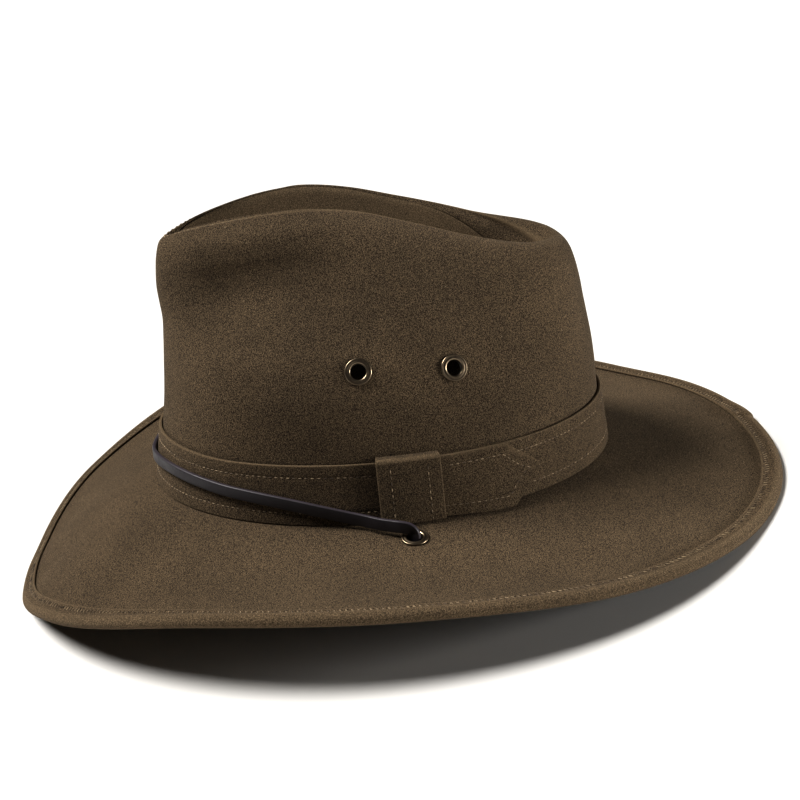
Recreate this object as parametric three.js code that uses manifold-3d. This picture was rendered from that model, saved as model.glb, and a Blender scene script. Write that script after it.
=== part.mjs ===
// A bush hat: a crown pinched at the front with one long dent, a wide bound brim, a hat band and a chin
// strap. Millimetres. The hat is shaped with x to the wearer's left, its front towards -y and z up from the
// brim's inner edge. It is then leaned to rest on its brim, with the origin on the surface below its middle.
import * as THREE from 'three';
import { mergeVertices } from 'three/addons/utils/BufferGeometryUtils.js';
import Module from 'manifold-3d';

const wasm = await Module();
wasm.setup();

// Head opening and cloth
const headLength = 200.2;
const headWidth = 168.2;
const crownWall = 1.6;
const clearance = 0.3; // between pieces that lie against each other

// Crown
const crownHeight = 118.6; // brim to the highest place of the ridge seam
const seamFront = -86.5; // where the seam's two sides meet at the front and at the back
const seamBack = 79.5;
const seamHalfWidth = 35.7;
const dentDepth = 30;
const dentSquareness = 2.6; // 2 would be a round floor

// Brim and its binding
const brimWidth = 80;
const brimThickness = 1.8;
const bindingWidth = 9;
const bindingWall = 1;
const brimCurl = 0.3; // how much steeper the brim falls towards its edge than at the band
const restPress = 2; // how far the brim's edge gives where it rests
const restSeat = 0.5; // how much of the binding's underside is pressed flat there
const restSoftness = 1.5;

// Band, its pointed outer end and the keeper loop
const bandHeight = 24.9;
const bandThickness = 1.5;
const tabThickness = 1.5;
const tabFlare = 3.6; // how far the tab's lower edge stands off
const keeperWall = 1.3;
const keeperLength = 26;
const keeperFold = 1.6; // radius over the top edges
const keeperTurn = 92.8; // degrees round from the front
const tabTurn = 119.3; // where the tab's corners end
const tabTipTurn = 129.8;
const tabTipWidth = 0.8;
const tabHidden = 4; // degrees of tab that stay flat under the keeper's middle, each way

// Eyelets
const eyeletFlange = 11;
const eyeletBore = 6.4;
const eyeletWall = 0.6;
const eyeletSeat = 0.5; // under the flange and the rolled back, which lie on curved cloth
const flangeThickness = 1;
const flangeRound = 0.7;
const rollThickness = 0.9;
const rollWidth = 1.7;
const ventSpacing = 38.5;
const ventMiddle = 7.5; // behind the middle of the head opening
const ventHeight = 58.5;
const ventDrop = 3; // how much lower the back one of each pair sits
const strapHoleTurn = 92;
const strapHoleReach = 11; // out from the band's foot

// Chin strap, a flat leather lace
const strapWidth = 5;
const strapThickness = 1.8;
const strapCorner = 0.55;
const strapRightDrop = 4.5; // how much lower it lies round the wearer's right
const strapHoleFacing = 40; // degrees that it turns from the band on its way into the hole

// Seam between the crown's side and top: how full it is beside a sine, and its share of crownHeight
const seamRows = [
  { turn: 0, full: 0.46, up: 0.908 },
  { turn: 15, full: 0.5, up: 0.919 },
  { turn: 30, full: 0.65, up: 0.943 },
  { turn: 45, full: 0.74, up: 0.967 },
  { turn: 60, full: 0.84, up: 0.991 },
  { turn: 75, full: 0.89, up: 1 },
  { turn: 90, full: 0.86, up: 0.978 },
  { turn: 105, full: 0.95, up: 0.927 },
  { turn: 120, full: 1.13, up: 0.875 },
  { turn: 135, full: 1.24, up: 0.83 },
  { turn: 150, full: 1.29, up: 0.795 },
  { turn: 165, full: 1.19, up: 0.767 },
  { turn: 180, full: 1.1, up: 0.749 },
];

// The crown's wall from brim to seam at four turns: shares of the way in and of the way up
const wallStations = [
  { turn: 0, name: 'front' },
  { turn: 47, name: 'pinch' },
  { turn: 106, name: 'side' },
  { turn: 180, name: 'back' },
];
const wallRows = [
  { front: [0, 0], pinch: [0, 0], side: [0, 0], back: [0, 0] },
  { front: [0.276, 0.23], pinch: [0.09, 0.22], side: [0.07, 0.216], back: [0.117, 0.28] },
  { front: [0.42, 0.354], pinch: [0.13, 0.33], side: [0.115, 0.328], back: [0.14, 0.4] },
  { front: [0.53, 0.482], pinch: [0.185, 0.43], side: [0.175, 0.431], back: [0.19, 0.53] },
  { front: [0.63, 0.606], pinch: [0.29, 0.52], side: [0.255, 0.534], back: [0.27, 0.66] },
  { front: [0.66, 0.67], pinch: [0.46, 0.6], side: [0.34, 0.62], back: [0.32, 0.75] },
  { front: [0.63, 0.735], pinch: [0.62, 0.668], side: [0.43, 0.698], back: [0.36, 0.83] },
  { front: [0.61, 0.795], pinch: [0.745, 0.738], side: [0.53, 0.776], back: [0.42, 0.91] },
  { front: [0.64, 0.857], pinch: [0.79, 0.81], side: [0.64, 0.853], back: [0.52, 0.985] },
  { front: [0.71, 0.925], pinch: [0.78, 0.88], side: [0.745, 0.918], back: [0.66, 1.03] },
  { front: [0.83, 0.978], pinch: [0.82, 0.945], side: [0.86, 0.968], back: [0.84, 1.035] },
  { front: [1, 1], pinch: [1, 1], side: [1, 1], back: [1, 1] },
];

// The dent between the seams: its share of dentDepth
const dentRows = [
  { turn: 0, depth: 0 },
  { turn: 20, depth: 0.36 },
  { turn: 45, depth: 0.74 },
  { turn: 90, depth: 0.95 },
  { turn: 125, depth: 1 },
  { turn: 160, depth: 0.5 },
  { turn: 180, depth: 0 },
];

// The brim's edge and the fall of its middle, as shares of brimWidth
const brimRows = [
  { turn: 0, reach: 0.812, rise: -0.563, sag: -0.03 },
  { turn: 30, reach: 0.876, rise: -0.326, sag: 0.0 },
  { turn: 60, reach: 0.954, rise: -0.053, sag: 0.05 },
  { turn: 90, reach: 1, rise: -0.004, sag: 0.07 },
  { turn: 120, reach: 1.042, rise: -0.074, sag: 0.06 },
  { turn: 150, reach: 0.985, rise: -0.125, sag: 0.04 },
  { turn: 180, reach: 0.914, rise: -0.091, sag: 0.03 },
];

// Route of the strap's upper stretch from the brim eyelet to the front: turn, out from the band, height,
// and how far its face has turned from its way into the hole to standing against the band
const strapRows = [
  { turn: 92, out: strapHoleReach, up: -8, face: 0 },
  { turn: 92, out: strapHoleReach, up: -2.8, face: 0 },
  { turn: 91.8, out: strapHoleReach - 0.1, up: 0, face: 0.05 },
  { turn: 90.9, out: strapHoleReach - 0.3, up: 1.5, face: 0.25 },
  { turn: 89.3, out: strapHoleReach - 0.9, up: 2.3, face: 0.6 },
  { turn: 87.2, out: strapHoleReach - 2.6, up: 2.5, face: 0.9 },
  { turn: 84.2, out: strapHoleReach - 5, up: 2.7, face: 1 },
  { turn: 80, out: 3.3, up: 3.4, face: 1 },
  { turn: 75, out: 1.7, up: 4.7, face: 1 },
  { turn: 67, out: 1.4, up: 7.5, face: 1 },
  { turn: 59, out: 1.4, up: 9.9, face: 1 },
  { turn: 51, out: 1.4, up: 11.6, face: 1 },
  { turn: 42, out: 1.4, up: 12.9, face: 1 },
  { turn: 32, out: 1.4, up: 14.1, face: 1 },
  { turn: 22, out: 1.4, up: 14.6, face: 1 },
  { turn: 11, out: 1.4, up: 13.6, face: 1 },
  { turn: 0, out: 1.4, up: 11, face: 1 },
];

// The lower stretch's left half: how far back of the eyelet and over the surface it comes down, then x and y
// on the surface to the middle of the back
const loopDrop = [
  { back: 1.5, up: 4.5 },
  { back: 5, up: 0.8 },
];
const loopPoints = [
  [105, 12], [106, 26], [107, 42], [107, 60], [104, 80], [96, 100], [82, 118], [63, 132], [42, 141],
  [21, 146], [0, 148],
];

const turns = 60; // sections round the hat
const laceSteps = 42;
const eyeletSides = 12;
const degree = Math.PI / 180;

function range(count, from, to) {
  return Array.from({ length: count + 1 }, (_, i) => from + ((to - from) * i) / count);
}

// A smooth curve through values at rising places, level at both ends
function smoothThrough(places, values, place) {
  const last = places.length - 1;
  let i = 0;
  while (i < last - 1 && places[i + 1] < place) i += 1;
  const span = places[i + 1] - places[i];
  const u = (place - places[i]) / span;
  const rise = (k) => (values[k + 1] - values[k - 1]) / (places[k + 1] - places[k - 1]);
  const slope = (k) => (k === 0 || k === last ? 0 : rise(k));
  const a = slope(i) * span;
  const b = slope(i + 1) * span;
  const step = values[i + 1] - values[i];
  return values[i] + u * (a + u * (3 * step - 2 * a - b + u * (a + b - 2 * step)));
}

function tableValue(rows, column, turn) {
  return smoothThrough(rows.map((row) => row.turn), rows.map((row) => row[column]), turn);
}

const ovalRadius = (long, wide, angle) => (
  (long * wide) / (2 * Math.hypot(wide * Math.cos(angle), long * Math.sin(angle)))
);

// Turn in degrees from the front towards the wearer's left, the same on both sides of the hat
const folded = (turn) => Math.abs(((turn + 180) % 360 + 360) % 360 - 180);
const outward = (turn) => new THREE.Vector3(Math.sin(turn * degree), -Math.cos(turn * degree), 0);

function seamPoint(turn) {
  const t = folded(turn);
  const middle = (seamFront + seamBack) / 2;
  const half = (seamBack - seamFront) / 2;
  return new THREE.Vector3(
    seamHalfWidth * tableValue(seamRows, 'full', t) * Math.sin(turn * degree),
    middle - half * Math.cos(turn * degree),
    crownHeight * tableValue(seamRows, 'up', t),
  );
}

// The crown's outer face: share 0 at the brim, 1 at the seam
function crownPoint(turn, share) {
  const t = folded(turn);
  const next = Math.max(wallStations.findIndex((station) => station.turn >= t), 1);
  const [from, to] = [wallStations[next - 1], wallStations[next]];
  const blend = THREE.MathUtils.smoothstep(t, from.turn, to.turn);
  const places = wallRows.map((_, row) => row / (wallRows.length - 1));
  const shareOf = (axis) => THREE.MathUtils.lerp(
    smoothThrough(places, wallRows.map((row) => row[from.name][axis]), share),
    smoothThrough(places, wallRows.map((row) => row[to.name][axis]), share),
    blend,
  );
  const radius = ovalRadius(headLength + 2 * crownWall, headWidth + 2 * crownWall, turn * degree);
  const seam = seamPoint(turn);
  const point = outward(turn).multiplyScalar(radius).lerp(seam.clone().setZ(0), shareOf(0));
  point.z = seam.z * shareOf(1);
  return point;
}

// The direction out of a face given as a function of turn and share
function faceNormal(face, turn, share) {
  const small = 0.002;
  const high = Math.min(share + small, 1);
  const round = face(turn + 0.2, share).sub(face(turn - 0.2, share));
  const along = face(turn, high).sub(face(turn, high - small));
  return round.cross(along).normalize();
}

function crownOffset(turn, share, distance) {
  return crownPoint(turn, share).addScaledVector(faceNormal(crownPoint, turn, share), distance);
}

// The share of the wall where it reaches a height
function shareAtHeight(turn, height) {
  let low = 0;
  let high = 0.8;
  for (let step = 0; step < 30; step += 1) {
    const middle = (low + high) / 2;
    if (crownPoint(turn, middle).z < height) low = middle;
    else high = middle;
  }
  return low;
}

// A point a distance out from the crown's wall at a height, for what is wrapped round its foot
function aroundCrown(turn, height, distance) {
  const share = shareAtHeight(turn, Math.max(height, 0));
  const point = crownPoint(turn, share).addScaledVector(outward(turn), distance);
  point.z = height;
  return point;
}

const bandFoot = (turn) => aroundCrown(turn, 0, clearance + bandThickness).setZ(0).length();

// The brim's top face before it rests: share 0 at the band's foot, 1 at the edge
function looseBrimPoint(turn, share) {
  const t = folded(turn);
  const reach = brimWidth * tableValue(brimRows, 'reach', t) * share;
  const point = outward(turn).multiplyScalar(bandFoot(turn) + reach);
  const rise = brimWidth * tableValue(brimRows, 'rise', t);
  const sag = brimWidth * tableValue(brimRows, 'sag', t);
  point.z = rise * brimFall(share) - sag * 4 * share * (1 - share);
  return point;
}

const brimFall = (share) => share * (1 - brimCurl + brimCurl * share);
const bindingStart = 1 - bindingWidth / brimWidth;
const bindingHalf = brimThickness / 2 + clearance + bindingWall;

// The folded strip's section round the edge of a brim face
function bindingSection(turn, face) {
  const out = face(turn, 1).sub(face(turn, bindingStart)).normalize();
  const up = new THREE.Vector3().crossVectors(out, face(turn + 1, 1).sub(face(turn - 1, 1))).normalize();
  const middle = face(turn, 1).addScaledVector(up, -brimThickness / 2);
  const slot = bindingHalf - bindingWall;
  const fold = range(4, -90, 90).map((angle) => [
    bindingHalf * (Math.cos(angle * degree) - 1),
    bindingHalf * Math.sin(angle * degree),
  ]);
  const outline = [
    [-bindingWidth, slot], [-bindingWall, slot], [-bindingWall, -slot], [-bindingWidth, -slot],
    [-bindingWidth, -bindingHalf], ...fold, [-bindingWidth, bindingHalf],
  ];
  return outline.map(([x, z]) => middle.clone().addScaledVector(out, x).addScaledVector(up, z));
}

// The plane that the bound edge rests on: level across the hat, touching at the front and at the back
const looseEdge = range(60, 0, 180).flatMap((turn) => bindingSection(turn, looseBrimPoint));
let restSlope = 0;
for (let pass = 0; pass < 6; pass += 1) {
  const lowest = (points) => points.reduce((a, b) => (b.z - restSlope * b.y < a.z - restSlope * a.y ? b : a));
  const front = lowest(looseEdge.filter((point) => point.y < 0));
  const back = lowest(looseEdge.filter((point) => point.y >= 0));
  restSlope = (back.z - front.z) / (back.y - front.y);
}
const lowestOf = (points) => Math.min(...points.map((point) => point.z - restSlope * point.y));
const restLevel = restPress + lowestOf(looseEdge);

function smoothMax(a, b, softness) {
  const near = Math.max(softness - Math.abs(a - b), 0) / softness;
  return Math.max(a, b) + (near * near * softness) / 4;
}

// The brim's top face with its edge lifted where it would sink below that plane
function brimPoint(turn, share) {
  const point = looseBrimPoint(turn, share);
  const above = lowestOf(bindingSection(turn, looseBrimPoint)) - restLevel;
  point.z += (smoothMax(above, -restSeat, restSoftness) - above) * brimFall(share);
  return point;
}

// Two triangles for each field of a grid of points, split along its shorter diagonal. A closed grid's last
// row runs on to its first.
function gridTriangles(rows, closed) {
  const index = [];
  const across = rows[0].length;
  const count = closed ? rows.length : rows.length - 1;
  for (let i = 0; i < count; i += 1) {
    const next = (i + 1) % rows.length;
    for (let j = 0; j < across - 1; j += 1) {
      const [a, b, c, d] = [i * across + j, next * across + j, next * across + j + 1, i * across + j + 1];
      const split = rows[i][j].distanceTo(rows[next][j + 1]) - rows[next][j].distanceTo(rows[i][j + 1]);
      index.push(...(split < 0 ? [a, b, c, a, c, d] : [a, b, d, b, c, d]));
    }
  }
  return index;
}

const coordinates = (rows) => rows.flat().flatMap((point) => point.toArray());
const faceGeometry = (rows, closed) => mergedMesh(coordinates(rows), gridTriangles(rows, closed));

// A mesh with shared corners and no empty triangles
function mergedMesh(position, index) {
  const loose = new THREE.BufferGeometry();
  loose.setAttribute('position', new THREE.Float32BufferAttribute(position, 3));
  loose.setIndex(index);
  const merged = mergeVertices(loose, 0.001);
  const kept = [];
  for (let i = 0; i < merged.index.count; i += 3) {
    const [a, b, c] = [0, 1, 2].map((k) => merged.index.getX(i + k));
    if (a !== b && b !== c && c !== a) kept.push(a, b, c);
  }
  merged.setIndex(kept);
  return merged;
}

// Cloth of one thickness behind a face: the face, its back, and a rim along every free edge
function cloth(face, thickness) {
  face.computeVertexNormals();
  const { position, normal } = face.attributes;
  const count = position.count;
  const points = [...position.array];
  for (let i = 0; i < count; i += 1) {
    points.push(
      position.getX(i) - normal.getX(i) * thickness,
      position.getY(i) - normal.getY(i) * thickness,
      position.getZ(i) - normal.getZ(i) * thickness,
    );
  }
  const front = [...face.index.array];
  const index = [...front];
  const edges = new Set();
  for (let i = 0; i < front.length; i += 3) {
    index.push(front[i + 2] + count, front[i + 1] + count, front[i] + count);
    for (let k = 0; k < 3; k += 1) edges.add(`${front[i + k]},${front[i + (k + 1) % 3]}`);
  }
  for (const edge of edges) {
    const [a, b] = edge.split(',').map(Number);
    if (!edges.has(`${b},${a}`)) index.push(b, a, a + count, b, a + count, b + count);
  }
  return mergedMesh(points, index);
}

// A closed section carried along a row of places, with flat ends unless it runs round to its start
function swept(sections, closed) {
  const rows = sections.map((section) => [...section, section[0]]);
  const index = gridTriangles(rows, closed);
  const last = (rows.length - 1) * rows[0].length;
  for (let k = 1; k < rows[0].length - 2 && !closed; k += 1) {
    index.push(0, k, k + 1, last, last + k + 1, last + k);
  }
  return mergedMesh(coordinates(rows), index);
}

const allTurns = range(turns, 0, 360).slice(0, -1);

// Lets no point of a piece lie lower than a height
function levelFoot(geometry, height) {
  const { position } = geometry.attributes;
  for (let i = 0; i < position.count; i += 1) position.setZ(i, Math.max(position.getZ(i), height));
  return geometry;
}

function crownSide() {
  const rows = allTurns.map((turn) => wallRows.map((_, i) => crownPoint(turn, i / (wallRows.length - 1))));
  return levelFoot(cloth(faceGeometry(rows, true), crownWall), clearance);
}

// The top piece starts under the side's lapped rim and falls to the dent's floor
function dentPoint(turn, across) {
  const rim = crownOffset(turn, 1, -(crownWall + 2 * clearance));
  const hollow = 1 - Math.abs(across) ** dentSquareness;
  const fall = dentDepth * tableValue(dentRows, 'depth', turn) * hollow;
  return new THREE.Vector3(rim.x * across, rim.y, rim.z - fall);
}

function crownTop() {
  const rows = range(turns / 2, 0, 180).map((turn) => (
    range(8, -1, 1).map((across) => dentPoint(turn, across))
  ));
  return cloth(faceGeometry(rows, false), crownWall);
}

function brim() {
  const inner = (turn) => ovalRadius(headLength, headWidth, turn * degree);
  const edge = 1 - (bindingWall + clearance) / brimWidth;
  const rows = allTurns.map((turn) => [
    ...[edge, bindingStart, 0.7, 0.5, 0.32, 0.16, 0].map((share) => brimPoint(turn, share)),
    outward(turn).multiplyScalar(inner(turn)),
  ]);
  return cloth(faceGeometry(rows, true), brimThickness);
}

const binding = () => swept(allTurns.map((turn) => bindingSection(turn, brimPoint)), true);

function hatBand() {
  const foot = clearance;
  const rows = allTurns.map((turn) => (
    range(2, foot, bandHeight).map((height) => aroundCrown(turn, height, clearance + bandThickness))
  ));
  return levelFoot(cloth(faceGeometry(rows, true), bandThickness), foot);
}

// The band's pointed end: rows of points across it, from under the keeper to its tip
function bandTab() {
  const start = keeperTurn - tabHidden;
  const off = 2 * clearance + bandThickness + tabThickness;
  const rows = range(14, start, tabTipTurn).map((turn) => {
    const taper = Math.max(0, (turn - tabTurn) / (tabTipTurn - tabTurn));
    const loose = THREE.MathUtils.smoothstep(turn, keeperTurn + tabHidden, tabTurn);
    const top = THREE.MathUtils.lerp(bandHeight + clearance, (bandHeight + tabTipWidth) / 2, taper);
    const flared = loose * tabFlare * (1 - taper);
    const reach = flared + off - bandThickness - tabThickness;
    const onBrim = brimPoint(turn, reach / (brimWidth * tableValue(brimRows, 'reach', folded(turn)))).z;
    const bottom = THREE.MathUtils.lerp(onBrim + 4 * clearance, (bandHeight - tabTipWidth) / 2, taper);
    return range(4, 0, 1).map((share) => {
      const height = THREE.MathUtils.lerp(bottom, top, share);
      return aroundCrown(turn, height, off + flared * (1 - share) ** 2);
    });
  });
  return cloth(faceGeometry(rows, false), tabThickness);
}

// The keeper: a strip down the front of band and tab, folded over their top edges to the crown
function bandKeeper() {
  const off = 3 * clearance + bandThickness + tabThickness + keeperWall;
  const middleRadius = aroundCrown(keeperTurn, bandHeight / 2, off).length();
  const half = (keeperLength / 2 / middleRadius) / degree;
  const top = bandHeight + 2 * clearance + keeperWall;
  const rows = range(6, keeperTurn - half, keeperTurn + half).map((turn) => [
    aroundCrown(turn, clearance, off),
    aroundCrown(turn, top / 2, off),
    ...range(2, 0, 90).map((angle) => aroundCrown(
      turn,
      top + keeperFold * (Math.sin(angle * degree) - 1),
      off + keeperFold * (Math.cos(angle * degree) - 1),
    )),
    aroundCrown(turn, top, clearance),
  ]);
  return levelFoot(cloth(faceGeometry(rows, false), keeperWall), clearance);
}

// An eyelet round its own axis: a domed flange in front, a barrel through the cloth and a rolled back
function eyelet(clothThickness) {
  const bore = eyeletBore / 2;
  const barrel = bore + eyeletWall;
  const flange = eyeletFlange / 2;
  const roll = bore + rollWidth;
  const front = eyeletSeat;
  const back = -(clothThickness + eyeletSeat);
  const outline = [
    [bore, back - rollThickness / 2], [bore, front + flangeThickness - flangeRound / 2],
    [bore + flangeRound, front + flangeThickness], [flange - flangeRound, front + flangeThickness],
    [flange, front], [barrel, front], [barrel, back], [roll, back],
    [roll - flangeRound / 2, back - rollThickness], [bore + flangeRound / 2, back - rollThickness],
  ];
  const points = [...outline, outline[0]].reverse().map(([x, y]) => new THREE.Vector2(x, y));
  const ring = new THREE.LatheGeometry(points, eyeletSides);
  ring.rotateX(Math.PI / 2);
  return plain(ring);
}

function plain(geometry) {
  geometry.deleteAttribute('normal');
  geometry.deleteAttribute('uv');
  return mergedMesh([...geometry.attributes.position.array], [...geometry.index.array]);
}

// The turn that puts a shape's own axis along a direction, at a place
function placedAlong(point, direction) {
  const turn = new THREE.Quaternion().setFromUnitVectors(new THREE.Vector3(0, 0, 1), direction);
  return new THREE.Matrix4().compose(point, turn, new THREE.Vector3(1, 1, 1));
}

// Vents: where each side's two eyelets sit on the crown, then the strap's holes in the brim
function ventPlace(side, toBack) {
  const y = ventMiddle + (toBack * ventSpacing) / 2;
  const height = ventHeight - (toBack * ventDrop) / 2;
  let turn = 90;
  for (let step = 0; step < 12; step += 1) {
    const point = crownPoint(turn, shareAtHeight(turn, height));
    turn += Math.atan2(y - point.y, point.x) / degree;
  }
  const share = shareAtHeight(turn, height);
  return placedAlong(crownPoint(turn * side, share), faceNormal(crownPoint, turn * side, share));
}

function strapHolePlace(side) {
  const turn = strapHoleTurn * side;
  const share = strapHoleReach / (brimWidth * tableValue(brimRows, 'reach', strapHoleTurn));
  return placedAlong(brimPoint(turn, share), faceNormal(brimPoint, turn, share).negate());
}

const sides = [{ side: 1, name: 'left' }, { side: -1, name: 'right' }];
const vents = sides.flatMap(({ side, name }) => [
  { name: `vent_eyelet_${name}_front`, place: ventPlace(side, -1) },
  { name: `vent_eyelet_${name}_back`, place: ventPlace(side, 1) },
]);
const strapHoles = sides.map(({ side, name }) => (
  { name: `strap_eyelet_${name}`, place: strapHolePlace(side) }
));

function solid(geometry) {
  return new wasm.Manifold(new wasm.Mesh({
    numProp: 3,
    vertProperties: new Float32Array(geometry.attributes.position.array),
    triVerts: new Uint32Array(geometry.index.array),
  }));
}

// Holes through cloth for the eyelets' barrels
function pierced(geometry, holes) {
  const radius = eyeletBore / 2 + eyeletWall + clearance;
  const cut = holes.reduce((body, hole) => {
    const drill = new THREE.CylinderGeometry(radius, radius, eyeletFlange, eyeletSides);
    drill.rotateX(Math.PI / 2).applyMatrix4(hole.place);
    return body.subtract(solid(plain(drill)));
  }, solid(geometry));
  const mesh = cut.getMesh();
  return mergedMesh([...mesh.vertProperties], [...mesh.triVerts]);
}

// The lace as a flat bar along a row of places, each with its direction across
function lace(places) {
  const half = strapWidth / 2;
  const thin = strapThickness / 2;
  const corner = strapCorner;
  const outline = [
    [half - corner, -thin], [corner - half, -thin], [-half, corner - thin], [-half, thin - corner],
    [corner - half, thin], [half - corner, thin], [half, thin - corner], [half, corner - thin],
  ];
  return swept(places.map(({ at, across, face }) => (
    outline.map(([x, y]) => at.clone().addScaledVector(across, x).addScaledVector(face, y))
  )), false);
}

// Places along a smooth curve, with the lace's face turned with it
function lacePlaces(points, faces, steps) {
  const curve = new THREE.CatmullRomCurve3(points, false, 'centripetal');
  return range(steps, 0, 1).map((share) => {
    const t = curve.getUtoTmapping(share);
    const place = t * (faces.length - 1);
    const i = Math.min(Math.floor(place), faces.length - 2);
    const along = curve.getTangent(t);
    const facing = faces[i].clone().lerp(faces[i + 1], place - i);
    const across = new THREE.Vector3().crossVectors(facing, along).normalize();
    const face = new THREE.Vector3().crossVectors(along, across).normalize();
    return { at: curve.getPoint(t), across, face };
  });
}

function strapStretch() {
  const rightRows = strapRows.slice(0, -1).reverse().map((row) => ({ ...row, turn: -row.turn }));
  const both = [...strapRows, ...rightRows].map((row) => {
    const away = Math.abs(row.turn);
    const low = THREE.MathUtils.smoothstep(-row.turn, 0, 20) * (1 - THREE.MathUtils.smoothstep(away, 45, 80));
    const up = row.up - strapRightDrop * low;
    const at = outward(away).multiplyScalar(bandFoot(away));
    const onBand = aroundCrown(away, Math.max(up, 0), clearance + bandThickness).setZ(0);
    const follow = row.out < strapHoleReach / 3 ? onBand.length() - at.length() : 0;
    at.addScaledVector(outward(away), row.out + follow).setZ(up);
    const flat = outward(away - strapHoleFacing);
    const face = flat.lerp(outward(away), row.face);
    const side = row.turn < 0 ? -1 : 1;
    return { at: at.setX(at.x * side), face: face.setX(face.x * side) };
  });
  return lace(lacePlaces(both.map((row) => row.at), both.map((row) => row.face), laceSteps));
}

// Leans the hat back until its bound edge rests, with the origin below the middle of its outline
const lean = Math.atan(restSlope);
const resting = new THREE.Matrix4().makeRotationX(-lean);
const outline = new THREE.Box3().setFromObject(new THREE.Mesh(binding().applyMatrix4(resting)));
const middle = (outline.min.y + outline.max.y) / 2;
resting.premultiply(new THREE.Matrix4().makeTranslation(0, -middle, -restLevel * Math.cos(lean)));
const rested = (geometry) => levelFoot(geometry.applyMatrix4(resting), 0);

// The strap's lower stretch: down from the eyelets and flat on the surface round the back
function strapLoop() {
  const bottom = strapRows[0];
  const hole = outward(bottom.turn).multiplyScalar(bandFoot(bottom.turn) + bottom.out).setZ(bottom.up);
  hole.applyMatrix4(resting);
  const down = new THREE.Vector3(0, 0, -1).transformDirection(resting);
  hole.addScaledVector(down, clearance);
  const level = strapThickness / 2;
  const drop = [
    hole,
    hole.clone().addScaledVector(down, strapWidth / 2),
    ...loopDrop.map(({ back, up }) => new THREE.Vector3(hole.x, hole.y + back, level + up)),
  ];
  const left = [...drop, ...loopPoints.map(([x, y]) => new THREE.Vector3(x, y, level))];
  const right = left.slice(0, -1).reverse().map((point) => point.clone().setX(-point.x));
  const points = [...left, ...right];
  const faces = points.map((_, i) => {
    const fromEnd = Math.min(i, points.length - 1 - i);
    return new THREE.Vector3(0, fromEnd < 3 ? -1 : 0, fromEnd < 2 ? 0 : 1).normalize();
  });
  return levelFoot(lace(lacePlaces(points, faces, laceSteps)), 0);
}

const brushedCotton = { color: 0x54473a, roughness: 0.92, metalness: 0 };
const bindingCotton = { color: 0x4b3f32, roughness: 0.92, metalness: 0 };
const leather = { color: 0x2a2627, roughness: 0.6, metalness: 0 };
const brass = { color: 0x8f7f66, roughness: 0.35, metalness: 1 };

const hat = new THREE.Group();

function add(name, geometry, finish) {
  const piece = new THREE.Mesh(geometry, new THREE.MeshStandardMaterial(finish));
  piece.name = name;
  hat.add(piece);
}

add('crown_side', rested(pierced(crownSide(), vents)), brushedCotton);
add('crown_top', rested(crownTop()), brushedCotton);
add('brim', rested(pierced(brim(), strapHoles)), brushedCotton);
add('brim_binding', rested(binding()), bindingCotton);
add('hat_band', rested(hatBand()), brushedCotton);
add('band_tab', rested(bandTab()), brushedCotton);
add('band_keeper', rested(bandKeeper()), brushedCotton);
for (const { name, place } of vents) add(name, rested(eyelet(crownWall).applyMatrix4(place)), brass);
for (const { name, place } of strapHoles) add(name, rested(eyelet(brimThickness).applyMatrix4(place)), brass);
add('chin_strap', rested(strapStretch()), leather);
add('chin_strap_loop', strapLoop(), leather);

export default hat;
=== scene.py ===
# A bush hat of brushed cotton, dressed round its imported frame. Metres, in the frame's own axes: x to the
# wearer's left, the front towards -y and z up from the surface that the hat rests on. Shapes are worked out
# in the hat's own axes, level with the brim's inner edge, and then leaned as the hat rests.
import math
import bmesh
import bpy
import numpy as np
from mathutils import Matrix, Vector, noise


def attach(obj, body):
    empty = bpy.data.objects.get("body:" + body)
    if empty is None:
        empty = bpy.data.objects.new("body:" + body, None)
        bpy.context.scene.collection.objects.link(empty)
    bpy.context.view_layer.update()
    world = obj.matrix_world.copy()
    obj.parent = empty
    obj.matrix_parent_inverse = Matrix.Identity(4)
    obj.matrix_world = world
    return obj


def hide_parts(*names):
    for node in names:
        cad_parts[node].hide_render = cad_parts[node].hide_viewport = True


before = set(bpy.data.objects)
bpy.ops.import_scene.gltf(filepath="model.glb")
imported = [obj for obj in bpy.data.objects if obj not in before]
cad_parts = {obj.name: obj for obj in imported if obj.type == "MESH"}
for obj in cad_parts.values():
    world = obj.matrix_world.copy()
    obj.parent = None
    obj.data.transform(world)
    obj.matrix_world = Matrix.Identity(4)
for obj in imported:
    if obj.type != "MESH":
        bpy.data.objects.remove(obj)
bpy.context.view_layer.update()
scene = bpy.context.scene
mm = 0.001


# small maths

def unit(vectors):
    return vectors / np.linalg.norm(vectors, axis=-1, keepdims=True)


def smoothStep(at, low, high):
    share = np.clip((np.asarray(at, float) - low) / (high - low), 0, 1)
    return share * share * (3 - 2 * share)


def between(at, rise, fall):  # from 0 up to 1 over the rise, and down again over the fall
    return smoothStep(at, *rise) * (1 - smoothStep(at, *fall))


def bump(at, middle, width):
    return np.exp(-((at - middle) / width) ** 2)


def together(*values):
    return np.broadcast_arrays(*[np.asarray(value, float) for value in values])


def smoothThrough(places, values, at):  # a curve through values at rising places, level at both ends
    places, values, at = np.array(places, float), np.array(values, float), np.asarray(at, float)
    i = np.clip(np.searchsorted(places, at) - 1, 0, len(places) - 2)
    slopes = np.zeros(len(values))
    slopes[1:-1] = (values[2:] - values[:-2]) / (places[2:] - places[:-2])
    span = places[i + 1] - places[i]
    u = (at - places[i]) / span
    a, b = slopes[i] * span, slopes[i + 1] * span
    step = values[i + 1] - values[i]
    return values[i] + u * (a + u * (3 * step - 2 * a - b + u * (a + b - 2 * step)))


def smoothMax(a, b, softness):
    near = np.maximum(softness - np.abs(a - b), 0) / softness
    return np.maximum(a, b) + near * near * softness / 4


def folded(turn):  # degrees from the front, the same on both sides
    return np.abs((np.asarray(turn, float) + 180) % 360 - 180)


def turnsAround(count):
    return np.arange(count) * 360 / count


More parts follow.
